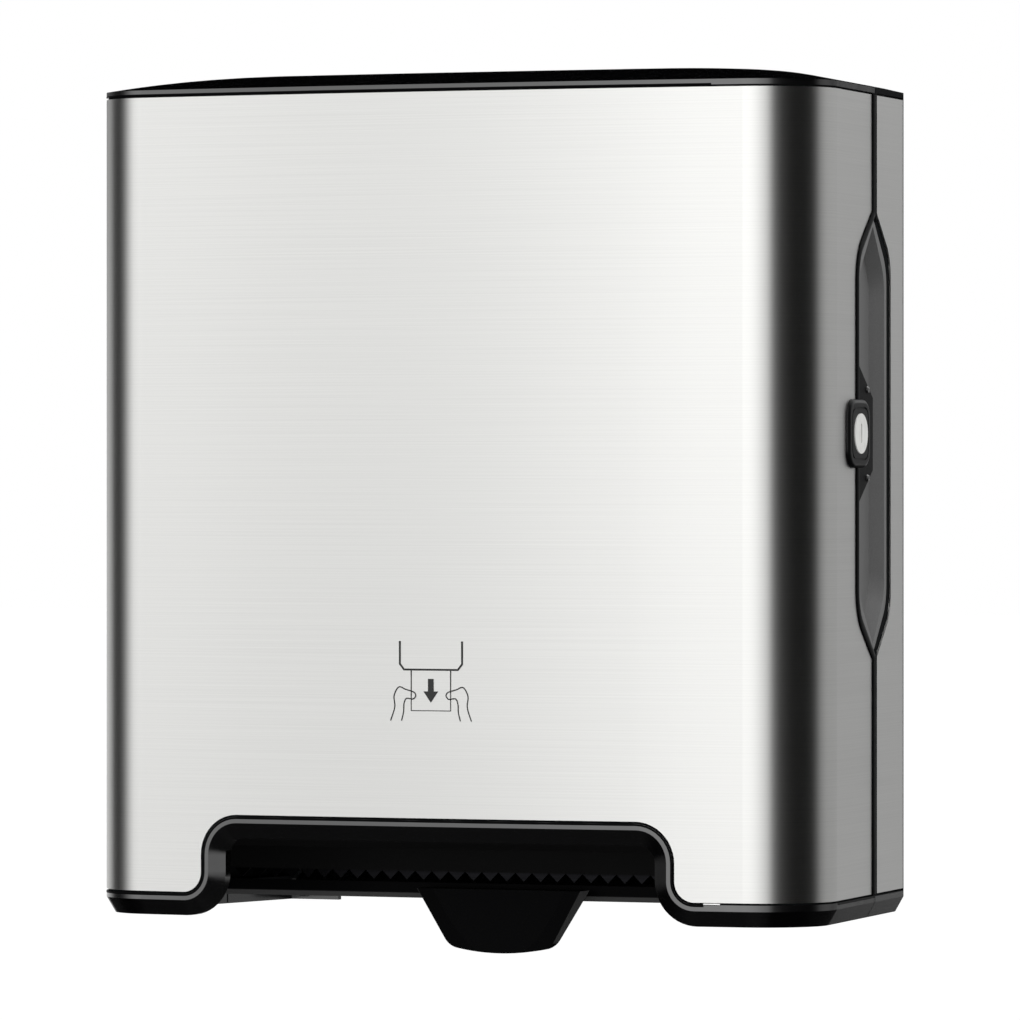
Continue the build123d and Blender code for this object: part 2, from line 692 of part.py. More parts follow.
def cheek(side):
    """Side plate of the feed frame with its foot, bearing holes and pinch slot."""
    drum = (DRUM_Y, DRUM_Z)
    plate = Pos(drum) * Circle(GUARD_R - BOND)
    back_block = Polyline(
        (DRUM_Y, DRUM_Z + CHEEK_TOP), (BACK_Y, DRUM_Z + CHEEK_TOP),
        (BACK_Y, DRUM_Z - CHEEK_TOP), (DRUM_Y, DRUM_Z - CHEEK_TOP), close=True,
    )
    plate += make_face(back_block)
    nose = Pos(LEVER_Y, LEVER_Z) * Circle(CHEEK_NOSE_R)
    neck = Polyline(
        drum, (LEVER_Y - CHEEK_NOSE_R, LEVER_Z), (LEVER_Y + CHEEK_NOSE_R, LEVER_Z), close=True
    )
    plate += nose + make_face(neck)
    plate -= Pos(drum) * Circle(BUSH_R + RUN_FIT)
    plate -= Pos(LEVER_Y, LEVER_Z) * Circle(LEVER_SHAFT_R + RUN_FIT)
    slot = SlotCenterToCenter(PINCH_TRAVEL, 2 * (PINCH_SHAFT_R + RUN_FIT))
    plate -= Pos(PINCH_Y + PINCH_TRAVEL / 2, DRUM_Z) * slot
    inner, outer = sorted((side * CHEEK_IN, side * CHEEK_OUT))
    body = prism_x(plate, inner, outer)
    foot_x = sorted((side * CHEEK_OUT, side * (CHEEK_OUT + FOOT_W)))
    body += span_box(*foot_x, BACK_Y - FOOT_T, BACK_Y, DRUM_Z - FOOT_HALF, DRUM_Z + FOOT_HALF)
    for hole in screw_holes():
        body -= hole
    return body


def drum_bush(side):
    """Flanged bush for the drum shaft."""
    bush = rod_x(BUSH_R, *sorted((side * CHEEK_IN, side * CHEEK_OUT)), DRUM_Y, DRUM_Z)
    rim = sorted((side * CHEEK_OUT, side * (CHEEK_OUT + BUSH_RIM_T)))
    bush += rod_x(BUSH_R + BUSH_RIM, *rim, DRUM_Y, DRUM_Z)
    return bush - rod_x(SHAFT_R + RUN_FIT, -FAR, FAR, DRUM_Y, DRUM_Z)


def tie_bar():
    """Cross bar between the cheeks."""
    top = DRUM_Z + CHEEK_TOP - TIE_INSET
    back = BACK_Y - TIE_INSET
    return span_box(-CHEEK_IN, CHEEK_IN, back - TIE_W, back, top - TIE_H, top)


def arc_section(radius, thickness, start, end):
    """Section of a curved guide about the drum axis."""
    drum = (DRUM_Y, DRUM_Z)
    outer = radius + thickness
    return make_face([
        CenterArc(drum, radius, start, end - start),
        Line(polar(drum, radius, end), polar(drum, outer, end)),
        CenterArc(drum, outer, end, start - end),
        Line(polar(drum, outer, start), polar(drum, radius, start)),
    ])


def chute():
    """Curved guide under the drum that ends in the outlet lip, which runs on in front of the cheeks."""
    drum = (DRUM_Y, DRUM_Z)
    lip_y = DRUM_Y - CHUTE_REACH
    lip_z = DRUM_Z - CHUTE_DROP
    slope = (CHUTE_DROP - CHUTE_R) / CHUTE_REACH
    under = lip_z + slope * CHUTE_NOSE_T - CHUTE_T
    section = arc_section(CHUTE_R, CHUTE_T, CHUTE_START_ANGLE, CHUTE_LEAVE_ANGLE)
    section += make_face(Polyline(
        polar(drum, CHUTE_R, CHUTE_LEAVE_ANGLE), (lip_y, lip_z), (lip_y, lip_z - CHUTE_NOSE),
        (lip_y + CHUTE_NOSE_T, lip_z - CHUTE_NOSE), (lip_y + CHUTE_NOSE_T, under),
        polar(drum, CHUTE_R + CHUTE_T, CHUTE_LEAVE_ANGLE), close=True,
    ))
    guide = prism_x(section, -CHEEK_IN, CHEEK_IN)
    guide += span_box(-GUARD_HALF, GUARD_HALF, lip_y, lip_y + CHUTE_NOSE_T, lip_z - CHUTE_NOSE, lip_z)
    half = PADDLE_TIP_W / 2 + ARM_AIR
    return guide - span_box(
        -half, half, lip_y - OVERRUN, lip_y + CHUTE_NOSE_T + OVERRUN,
        LEVER_Z - ARM_TOP - ARM_D, LEVER_Z - ARM_TOP + ARM_AIR,
    )


def guard():
    """Curved guard in front of the drum with the flange that backs the tear blade."""
    drum = (DRUM_Y, DRUM_Z)
    edge_y, edge_z = polar(drum, GUARD_R + GUARD_T, GUARD_END_ANGLE)
    section = arc_section(GUARD_R, GUARD_T, GUARD_START_ANGLE, GUARD_END_ANGLE)
    flange = Polyline(
        polar(drum, GUARD_R, GUARD_END_ANGLE), (edge_y, edge_z), (edge_y, edge_z - GUARD_SKIRT),
        (edge_y + GUARD_T, edge_z - GUARD_SKIRT), (edge_y + GUARD_T, edge_z), close=True,
    )
    section += make_face(flange)
    return prism_x(section, -GUARD_HALF, GUARD_HALF)


def tear_blade():
    """Serrated blade behind the guard's flange."""
    edge_y, edge_z = polar((DRUM_Y, DRUM_Z), GUARD_R + GUARD_T, GUARD_END_ANGLE)
    root = edge_z - GUARD_SKIRT
    half = BLADE_TEETH * TOOTH_PITCH / 2
    points = [(half, root + BLADE_TOP), (-half, root + BLADE_TOP)]
    for k in range(BLADE_TEETH):
        left = -half + k * TOOTH_PITCH
        points += [(left, root), (left + TOOTH_PITCH / 2, root - TOOTH_DROP)]
    points.append((half, root))
    strip = make_face(Polyline(*points, close=True))
    return prism_y(strip, edge_y + GUARD_T, edge_y + GUARD_T + BLADE_T)


def band_places():
    """Centres of the rubber bands along the drum."""
    return [(k - (BANDS - 1) / 2) * BAND_PITCH for k in range(BANDS)]


def drum_shell():
    """Drum tube with seats for the rubber bands."""
    tube = rod_x(DRUM_R, -DRUM_L / 2, DRUM_L / 2, DRUM_Y, DRUM_Z)
    tube -= rod_x(DRUM_R - DRUM_WALL, -FAR, FAR, DRUM_Y, DRUM_Z)
    for x in band_places():
        seat = rod_x(DRUM_R + OVERRUN, x - BAND_W / 2, x + BAND_W / 2, DRUM_Y, DRUM_Z)
        tube -= seat - rod_x(DRUM_R - BAND_SEAT, -FAR, FAR, DRUM_Y, DRUM_Z)
    return tube


def drum_bands():
    """Rubber bands that grip the paper."""
    rings = []
    for x in band_places():
        ring = rod_x(DRUM_R + BAND_PROUD, x - BAND_W / 2, x + BAND_W / 2, DRUM_Y, DRUM_Z)
        rings.append(ring - rod_x(DRUM_R - BAND_SEAT, -FAR, FAR, DRUM_Y, DRUM_Z))
    return rings


def drum_end(side):
    """End disc of the drum with a hub and lightening holes."""
    out = DRUM_L / 2
    disc = rod_x(DRUM_R - DRUM_WALL, *sorted((side * out, side * (out - END_T))), DRUM_Y, DRUM_Z)
    ring_r = (DRUM_R - DRUM_WALL + END_HUB_R) / 2
    for k in range(END_HOLES):
        y, z = polar((DRUM_Y, DRUM_Z), ring_r, k * 360 / END_HOLES)
        disc -= rod_x(END_HOLE_R, -FAR, FAR, y, z)
    return disc - rod_x(SHAFT_R, -FAR, FAR, DRUM_Y, DRUM_Z)


def wheel_in():
    """Inner face of the hand wheel, measured from the middle."""
    return CHEEK_OUT + BUSH_RIM_T + AIR


def drum_shaft():
    """Steel shaft through the drum, hand wheel and clutch."""
    left = -wheel_in() - WHEEL_T
    return rod_x(SHAFT_R, left, GEAR_OUT + AIR + CLIP_T + SHAFT_STUB, DRUM_Y, DRUM_Z)


def hand_wheel():
    """Scalloped wheel for threading the paper by hand."""
    left = -wheel_in() - WHEEL_T
    wheel = rod_x(WHEEL_R, left, -wheel_in(), DRUM_Y, DRUM_Z)
    for k in range(WHEEL_GRIPS):
        y, z = polar((DRUM_Y, DRUM_Z), WHEEL_R, k * 360 / WHEEL_GRIPS)
        wheel -= rod_x(WHEEL_GRIP_R, -FAR, FAR, y, z)
    return wheel - rod_x(SHAFT_R, -FAR, FAR, DRUM_Y, DRUM_Z)


def shaft_clip():
    """Ring that keeps the clutch pinion on the shaft."""
    clip = rod_x(CLIP_R, GEAR_OUT + AIR, GEAR_OUT + AIR + CLIP_T, DRUM_Y, DRUM_Z)
    return clip - rod_x(SHAFT_R, -FAR, FAR, DRUM_Y, DRUM_Z)


def involute(base, radius):
    """Involute angle at a radius."""
    angle = math.acos(min(1.0, base / radius))
    return math.tan(angle) - angle


def gear_face(centre, teeth, phase):
    """Involute gear with one tooth centred at the phase angle."""
    pitch = teeth * GEAR_MODULE / 2
    base = pitch * math.cos(math.radians(PRESSURE_ANGLE))
    tip = pitch + GEAR_MODULE
    root = pitch - DEDENDUM_SHARE * GEAR_MODULE
    start = max(base, root)
    half = math.pi / (2 * teeth) - BACKLASH / (4 * pitch) + involute(base, pitch)
    radii = [start + (tip - start) * share for share in FLANK_SHARES]
    leans = [math.degrees(half - involute(base, r)) for r in radii]
    step = 360 / teeth
    edges = []
    for k in range(teeth):
        mid = phase + k * step
        rising = [polar(centre, r, mid - lean) for r, lean in zip(radii, leans)]
        falling = [polar(centre, r, mid + lean) for r, lean in zip(radii, leans)][::-1]
        edges += [
            Line(polar(centre, root, mid - leans[0]), rising[0]) if root < start else None,
            ThreePointArc(*rising),
            ThreePointArc(rising[-1], polar(centre, tip, mid), falling[0]),
            ThreePointArc(*falling),
            Line(falling[-1], polar(centre, root, mid + leans[0])) if root < start else None,
            CenterArc(centre, root, mid + leans[0], step - 2 * leans[0]),
        ]
    return make_face([edge for edge in edges if edge])


def mesh_angle():
    """Direction from the lever axis to the drum axis."""
    return math.degrees(math.atan2(DRUM_Z - LEVER_Z, DRUM_Y - LEVER_Y))


def sector_gear():
    """Toothed sector on the end of the lever shaft."""
    lever = (LEVER_Y, LEVER_Z)
    reach = SECTOR_TEETH * GEAR_MODULE
    middle = (SECTOR_START_ANGLE + SECTOR_END_ANGLE) / 2
    wedge = make_face(Polyline(
        lever, polar(lever, reach, SECTOR_START_ANGLE), polar(lever, reach, middle),
        polar(lever, reach, SECTOR_END_ANGLE), close=True,
    ))
    face = gear_face(lever, SECTOR_TEETH, mesh_angle()) & wedge
    face += Pos(lever) * Circle(SECTOR_HUB_R)
    face -= Pos(lever) * Circle(LEVER_SHAFT_R)
    return prism_x(face, GEAR_IN, GEAR_OUT)


def clutch_pinion():
    """Pinion that drives the drum through a one-way clutch."""
    face = gear_face((DRUM_Y, DRUM_Z), PINION_TEETH, mesh_angle() + 180 + 180 / PINION_TEETH)
    face -= Pos(DRUM_Y, DRUM_Z) * Circle(CLUTCH_R)
    return prism_x(face, GEAR_IN, GEAR_OUT)


def one_way_clutch():
    """Clutch sleeve pressed into the pinion."""
    sleeve = rod_x(CLUTCH_R, GEAR_IN, GEAR_OUT, DRUM_Y, DRUM_Z)
    return sleeve - rod_x(SHAFT_R + RUN_FIT, -FAR, FAR, DRUM_Y, DRUM_Z)


def lever_shaft():
    """Rocking shaft of the lever, carried by both cheeks."""
    return rod_x(LEVER_SHAFT_R, -CHEEK_OUT - SHAFT_STUB, GEAR_OUT + SHAFT_STUB, LEVER_Y, LEVER_Z)


def lever_paddle():
    """Dished push paddle with its arm and hub."""
    top = LEVER_Z + PADDLE_RISE
    foot = LEVER_Z - PADDLE_DROP
    front = LEVER_Y - PADDLE_FRONT
    outline = make_face([
        Line((-PADDLE_TOP_W / 2, top), (PADDLE_TOP_W / 2, top)),
        Line((PADDLE_TOP_W / 2, top), (PADDLE_TIP_W / 2, foot)),
        ThreePointArc((PADDLE_TIP_W / 2, foot), (0, foot - PADDLE_BELLY), (-PADDLE_TIP_W / 2, foot)),
        Line((-PADDLE_TIP_W / 2, foot), (-PADDLE_TOP_W / 2, top)),
    ])
    outline = fillet([v for v in outline.vertices() if v.Y < LEVER_Z - PADDLE_R], PADDLE_R)
    low = foot - 2 * PADDLE_BELLY
    depth = make_face(Polyline(
        (front, top), (front + PADDLE_LEAN, low), (front + PADDLE_LEAN + PADDLE_TIP_D, low),
        (front + PADDLE_TOP_D, top), close=True,
    ))
    paddle = prism_y(outline, -FAR, 0) & prism_x(depth, -PADDLE_TOP_W, PADDLE_TOP_W)
    paddle -= rod_z(DISH_R, 0, front - DISH_R + DISH_D, low - OVERRUN, top + OVERRUN)
    half = PADDLE_TIP_W / 2
    arm_top = LEVER_Z - ARM_TOP
    paddle += span_box(-half, half, front + PADDLE_TOP_D / 2, LEVER_Y, arm_top - ARM_D, arm_top)
    paddle += rod_x(LEVER_HUB_R, -half, half, LEVER_Y, LEVER_Z)
    return paddle - rod_x(LEVER_SHAFT_R, -FAR, FAR, LEVER_Y, LEVER_Z)


def pinch_shaft():
    """Steel shaft of the pinch roller."""
    reach = CHEEK_OUT + PINCH_STUB
    return rod_x(PINCH_SHAFT_R, -reach, reach, PINCH_Y, DRUM_Z)


def pinch_sleeves():
    """Rubber sleeves of the pinch roller."""
    sleeves = []
    for k in range(PINCHES):
        x = (k - (PINCHES - 1) / 2) * PINCH_PITCH
        sleeve = rod_x(PINCH_R, x - PINCH_L / 2, x + PINCH_L / 2, PINCH_Y, DRUM_Z)
        sleeves.append(sleeve - rod_x(PINCH_SHAFT_R, -FAR, FAR, PINCH_Y, DRUM_Z))
    return sleeves


def pinch_leaves():
    """Leaf springs that press the pinch roller forward, one on each foot."""
    seat = BACK_Y - FOOT_T - LEAF_T / 2
    touch = PINCH_Y + PINCH_SHAFT_R + AIR + LEAF_T / 2
    path = Polyline(
        (seat, DRUM_Z + LEAF_TOP), (seat, DRUM_Z + LEAF_SEAT),
        (touch, DRUM_Z), ((seat + touch) / 2, DRUM_Z - LEAF_TAIL),
    )
    strip = trace(path, LEAF_T)
    start = CHEEK_OUT + AIR
    return [prism_x(strip, *sorted((side * start, side * (start + LEAF_W)))) for side in (-1, 1)]


def roll_arm_face(root_y):
    """Tapered side outline of a roll arm from its root to the hub pin."""
    face = Pos(ROLL_Y, ROLL_Z) * Circle(ROLL_ARM_END_R)
    web = Polyline(
        (root_y, ROLL_Z - ROLL_ARM_ROOT), (root_y, ROLL_Z + ROLL_ARM_ROOT),
        (ROLL_Y, ROLL_Z + ROLL_ARM_END_R), (ROLL_Y, ROLL_Z - ROLL_ARM_END_R), close=True,
    )
    return face + make_face(web)


def hub_pin(side):
    """Pin on the arm that the hub turns on."""
    return rod_x(HUB_PIN_R, *sorted((side * ROLL_ARM_IN, side * (ROLL_ARM_IN - HUB_PIN_L))), ROLL_Y, ROLL_Z)


def roll_arm_left():
    """Fixed roll arm with its foot."""
    arm = prism_x(roll_arm_face(BACK_Y), -ROLL_ARM_OUT, -ROLL_ARM_IN)
    arm += span_box(
        -ROLL_ARM_OUT - ROLL_ARM_FOOT_W, -ROLL_ARM_OUT, BACK_Y - ROLL_ARM_FOOT_T, BACK_Y,
        ROLL_Z - ROLL_ARM_ROOT, ROLL_Z + ROLL_ARM_ROOT,
    )
    for hole in screw_holes():
        arm -= hole
    return arm + hub_pin(-1)


def roll_arm_right():
    """Swinging roll arm with its pivot barrel."""
    arm = prism_x(roll_arm_face(PIVOT_Y), ROLL_ARM_IN, ROLL_ARM_OUT)
    barrel = ROLL_ARM_ROOT
    arm += rod_z(PIVOT_R, PIVOT_X, PIVOT_Y, ROLL_Z - barrel, ROLL_Z + barrel)
    arm -= rod_z(PIVOT_PIN_R + RUN_FIT, PIVOT_X, PIVOT_Y, -FAR, FAR)
    return arm + hub_pin(1)


def arm_bracket():
    """Bracket with two lugs for the swinging arm."""
    reach = ROLL_ARM_ROOT + AIR
    right = ROLL_ARM_OUT + ROLL_ARM_FOOT_W
    left = PIVOT_X - PIVOT_R
    bracket = span_box(
        left, right, BACK_Y - ROLL_ARM_FOOT_T, BACK_Y, ROLL_Z - reach - PIVOT_LUG_T, ROLL_Z + reach + PIVOT_LUG_T
    )
    for step in (-1, 1):
        low, high = sorted((ROLL_Z + step * reach, ROLL_Z + step * (reach + PIVOT_LUG_T)))
        bracket += span_box(left, PIVOT_X + PIVOT_R, PIVOT_Y, BACK_Y, low, high)
        bracket += rod_z(PIVOT_R, PIVOT_X, PIVOT_Y, low, high)
    bracket -= rod_z(PIVOT_PIN_R, PIVOT_X, PIVOT_Y, -FAR, FAR)
    for hole in screw_holes():
        bracket -= hole
    return bracket


def arm_pin():
    """Pivot pin of the swinging arm."""
    reach = ROLL_ARM_ROOT + AIR + PIVOT_LUG_T
    return rod_z(PIVOT_PIN_R, PIVOT_X, PIVOT_Y, ROLL_Z - reach, ROLL_Z + reach)


def roll_hub(side):
    """Collared plug that holds one end of the roll core, bored blind for the arm's pin."""
    from_face = (Align.CENTER, Align.CENTER, Align.MIN)
    hub = Cylinder(HUB_COLLAR_R, HUB_COLLAR_T, align=from_face)
    hub += Pos(0, 0, HUB_COLLAR_T) * Cone(HUB_R, HUB_TIP_R, HUB_L, align=from_face)
    hub -= Cylinder(HUB_PIN_R + RUN_FIT, HUB_PIN_L, align=from_face)
    return Pos(side * (ROLL_ARM_IN - AIR), ROLL_Y, ROLL_Z) * Rot(0, -90 * side, 0) * hub


NODES = {
    "rear_shell": rear_shell,
    "rear_skin_left": lambda: rear_skin(-1),
    "rear_skin_right": lambda: rear_skin(1),
    "grip_scoop": grip_scoop,
    "lock_keeper": keeper,
    "hinge_pins": hinge_pins,
    "cover_skin": cover_skin,
    "cover_shell": cover_shell,
    "top_cap": top_cap,
    "bottom_trim": bottom_trim,
    "lock_bezel": lock_bezel,
    "lock_case": lock_case,
    "lock_barrel": lock_barrel,
    "lock_cam": lock_cam,
    "cheek_left": lambda: cheek(-1),
    "cheek_right": lambda: cheek(1),
    "tie_bar": tie_bar,
    "drum_bush_left": lambda: drum_bush(-1),
    "drum_bush_right": lambda: drum_bush(1),
    "chute": chute,
    "drum_guard": guard,
    "tear_blade": tear_blade,
    "drum_shell": drum_shell,
    "drum_bands": drum_bands,
    "drum_end_left": lambda: drum_end(-1),
    "drum_end_right": lambda: drum_end(1),
    "drum_shaft": drum_shaft,
    "hand_wheel": hand_wheel,
    "shaft_clip": shaft_clip,
    "clutch_pinion": clutch_pinion,
    "one_way_clutch": one_way_clutch,
    "sector_gear": sector_gear,
    "lever_shaft": lever_shaft,
    "lever_paddle": lever_paddle,
    "pinch_shaft": pinch_shaft,
    "pinch_sleeves": pinch_sleeves,
    "pinch_leaves": pinch_leaves,
    "roll_arm_left": roll_arm_left,
    "roll_arm_right": roll_arm_right,
    "arm_bracket": arm_bracket,
    "arm_pin": arm_pin,
    "roll_hub_left": lambda: roll_hub(-1),
    "roll_hub_right": lambda: roll_hub(1),
    "frame_screws": lambda: [screw(*place) for place in frame_screw_places()],
}

os.makedirs("parts", exist_ok=True)
for name, make in NODES.items():
    shape = make()
    solids = shape if isinstance(shape, list) else [shape]
    bodies = [solid for item in solids for solid in item.solids()]
    export_step(Compound(children=bodies) if len(bodies) > 1 else bodies[0], f"parts/{name}.step")
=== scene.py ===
import math

import bpy
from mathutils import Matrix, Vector


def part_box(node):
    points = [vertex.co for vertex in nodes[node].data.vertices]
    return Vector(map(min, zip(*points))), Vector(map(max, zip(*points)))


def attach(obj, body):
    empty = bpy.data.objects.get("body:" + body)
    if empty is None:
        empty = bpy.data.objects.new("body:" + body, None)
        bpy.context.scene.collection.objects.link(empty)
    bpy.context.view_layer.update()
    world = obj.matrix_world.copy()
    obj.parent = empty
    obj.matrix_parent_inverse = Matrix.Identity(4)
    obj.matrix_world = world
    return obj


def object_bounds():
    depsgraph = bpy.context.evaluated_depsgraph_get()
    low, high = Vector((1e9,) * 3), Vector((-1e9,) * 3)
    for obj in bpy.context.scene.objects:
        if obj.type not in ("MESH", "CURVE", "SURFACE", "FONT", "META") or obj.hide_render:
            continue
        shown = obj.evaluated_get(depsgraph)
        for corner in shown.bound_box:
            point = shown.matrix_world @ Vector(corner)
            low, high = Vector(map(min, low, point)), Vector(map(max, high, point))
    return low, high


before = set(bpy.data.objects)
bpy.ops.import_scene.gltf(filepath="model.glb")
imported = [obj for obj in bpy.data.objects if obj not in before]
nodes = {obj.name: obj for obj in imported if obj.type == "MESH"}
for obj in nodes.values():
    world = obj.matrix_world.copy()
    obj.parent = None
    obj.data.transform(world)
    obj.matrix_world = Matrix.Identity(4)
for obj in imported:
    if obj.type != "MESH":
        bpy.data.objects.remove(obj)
cad_low, cad_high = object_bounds()

MM = 0.001

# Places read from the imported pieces
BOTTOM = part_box("bottom_trim")[0].z
SKIN_LOW, SKIN_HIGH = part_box("cover_skin")
FRONT = SKIN_LOW.y
STEEL_LOW = SKIN_LOW.z
STEEL_HIGH = SKIN_HIGH.z
LOCK_LOW, LOCK_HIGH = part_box("lock_bezel")
LOCK_Z = (LOCK_LOW.z + LOCK_HIGH.z) / 2
PADDLE_LOW, PADDLE_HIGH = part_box("lever_paddle")

# Plan of the steel front
BOW_R = 1618 * MM               # bowed front
CORNER_R = 32.4 * MM            # upright corners, and the axis of the left one
CORNER_X = -142.27 * MM
CORNER_Y = -130.5 * MM
SIDE_LEAN = math.radians(8.42)  # sides draw in towards the wall
SPLIT_X = 163.84 * MM           # right side at the split between cover and housing
SPLIT_Y = -55 * MM

# Directions: up, out of the right side, and along the right side to the front
RISE = Vector((0, 0, 1))
OUTWARD = Vector((math.cos(SIDE_LEAN), math.sin(SIDE_LEAN), 0))
AHEAD = Vector((math.sin(SIDE_LEAN), -math.cos(SIDE_LEAN), 0))

# Slanted edges of the paddle, and the way that the right one faces
EDGE_IN = 15 * MM
EDGE_DROP = 25.5 * MM
EDGE_TOP = PADDLE_LOW.z + 28.5 * MM
FLANK = Vector((EDGE_DROP, 0, -EDGE_IN)).normalized()
FLANK_REACH = FLANK.dot((PADDLE_HIGH.x, 0, EDGE_TOP))

# Reaches between which a finish or a painted highlight changes, from none to full
FOOT_LACQUER = (STEEL_LOW - 1.0 * MM, STEEL_LOW - 1.4 * MM)
LIP_HIGHLIGHT = (BOTTOM + 8.4 * MM, BOTTOM + 8.0 * MM)
EDGE_HIGHLIGHT = (FLANK_REACH - 0.3 * MM, FLANK_REACH)

# Surface patterns
NOISE_SPAN = (0.3, 0.7)         # values between which most of the noise lies
TONE_SPREAD = (0.93, 1.07)      # darkest and lightest speckle, of a moulding's colour

# Printed sign above the outlet
SIGN_Z = BOTTOM + 105 * MM
INK_Y = FRONT - 0.06 * MM       # ink in front of the steel
FINE_LINE = 0.55 * MM
BOLD_LINE = 0.95 * MM

# Screws of the lock plate
SCREW_AHEAD = 12 * MM           # in front of the split
SCREW_RISE = 19.5 * MM          # above and below the lock
SCREW_SUNK = 0.6 * MM           # plate face below the steel
SCREW_R = 1.6 * MM
SCREW_H = 0.7 * MM
SCREW_SIDES = 24
RIM_SHARE = 0.78                # rim of the head's top, of its radius
ARM_SHARE = 1.1                 # length of the cross, of the radius
BAR_SHARE = 0.22                # width of the cross, of the radius
CROSS_SHARE = 0.5151            # middle of the cross, of the head's height

# Black edging of the cover along the split and round the grip recess: the black rim there together with
# painted shade in the gap
EDGING_HALF = 2.75 * MM
EDGING_H = 0.8 * MM
EDGING_AHEAD = 3.25 * MM        # middle of the edging in front of the split
EDGING_BEND = 20 * MM
RECESS_AHEAD = 34.25 * MM
RECESS_TIPS = (BOTTOM + 115.3 * MM, BOTTOM + 311.7 * MM)
RECESS_SLOPE = 20 * MM          # from a tip up or down to the straight front

# Painted shadow in the seams beside the steel: thin black beads that darken the grooves
SEAM_BEAD_H = 0.12 * MM
TRIM_SHADE_HALF = 0.5 * MM
TRIM_SEAM_LOW = BOTTOM + 9.2 * MM
TRIM_SEAM_HIGH = BOTTOM + 43.9 * MM
TRIM_SHADE_END = 127.5 * MM
NOTCH_HALF = 112.8 * MM
NOTCH_TOP_R = 16.6 * MM
NOTCH_FOOT_R = 10.4 * MM
NOTCH_STEPS = 5                 # stations from the middle of the notch to its side
SIDE_SHADE_AHEAD = 70 * MM
CAP_SHADE_HALF = 0.35 * MM
CAP_SHADE_Z = STEEL_HIGH + 1.2 * MM
CAP_SHADE_END = 131 * MM
CAP_STEPS = 7                   # stations from the middle of the front to the end
CORNER_TURNS = range(-8, 85, 4)  # degrees round the left corner, close enough to stay on it

# Short bright steel bead in the seam beyond the painted seam shadow
DASH_END = 135 * MM
DASH_HALF = 0.42 * MM
DASH_Z = BOTTOM + 9.9 * MM

# Sides of a bead, and points along each of its bends
BEAD_SIDES = 16
BEND_POINTS = 10

# Camera of the photograph
CAMERA_TURN = 0.421
CAMERA_X = 1602.4 * MM
CAMERA_Y = -3663.0 * MM
CAMERA_RISE = 194.2 * MM        # above the bottom of the trim
LENS = 309.47
SENSOR = 36.0
SHIFT_Y = -0.0306
FAR_CLIP = 200.0

# Studio
FLOOR_DROP = 350 * MM           # floor below the dispenser
FLOOR_HALF = 30.0
EVEN_LIGHT = 0.7
# Soft lights: name, place, side and watts
LIGHTS = (
    ("front_light", (-0.9, -1.6, 2.2), 1.4, 14),
    ("side_light", (1.5, -0.2, 2.0), 0.8, 22),
)
# Brightness round the mirrored room, by degrees from the front towards the right
ROOM = (
    (-180, 0.82), (-125, 1.15), (-112, 1.1), (-99, 0.16), (-84, 0.035), (-73, 0.2), (-64, 0.84),
    (-55, 1.56), (-46, 1.92), (-37, 1.82), (-31, 1.55), (-24, 1.55), (-18, 1.88), (-12, 2.5),
    (-2, 2.32), (8, 2.1), (17, 1.7), (27, 1.3), (36, 0.2), (48, 0.06), (62, 0.025), (82, 0.015),
    (102, 0.012), (110, 0.09), (118, 0.37), (135, 0.68), (160, 0.84), (180, 0.82),
)
# Shaded zones of that room: how deep, and where along each axis the shade starts and is full.
# They are the ceiling behind on the left, the ground all round and the horizon behind on the right
SHADES = (
    (1.0, ("Z", -0.03, 0.06), ("X", 0.02, -0.25), ("Y", -0.1, 0.3)),
    (0.98, ("Z", -0.08, -0.24)),
    (0.86, ("tilt", 0.09, 0.05), ("X", -0.05, 0.05), ("Y", 0.5, 0.9)),
)


def linear(code):
    """Linear colour of an sRGB hex value."""
    parts = [int(code[k:k + 2], 16) / 255 for k in (1, 3, 5)]
    return tuple(c / 12.92 if c <= 0.04045 else ((c + 0.055) / 1.055) ** 2.4 for c in parts) + (1.0,)


def add(tree, kind, inputs=None, **settings):
    """Adds a node, sets its options and values, and links a socket or sets a value at each given input."""
    node = tree.nodes.new(kind)
    for name, value in settings.items():
        if hasattr(node, name):
            setattr(node, name, value)
        else:
            node.inputs[name.replace("_", " ")].default_value = value
    for name, source in (inputs or {}).items():
        if isinstance(source, bpy.types.NodeSocket):
            tree.links.new(source, node.inputs[name])
        else:
            node.inputs[name].default_value = source
    return node


def new_material(name):
    """Empty node material. Returns the material and its tree."""
    material = bpy.data.materials.new(name)
    material.use_nodes = True
    material.node_tree.nodes.clear()
    return material, material.node_tree


def new_piece(name, data):
    """Object for a mesh, a lamp or a camera, placed at the origin."""
    piece = bpy.data.objects.new(name, data)
    bpy.context.scene.collection.objects.link(piece)
    return piece


def dress(material, *names):
    """Gives CAD nodes one material."""
    for name in names:
        nodes[name].data.materials.clear()
        nodes[name].data.materials.append(material)


# Materials


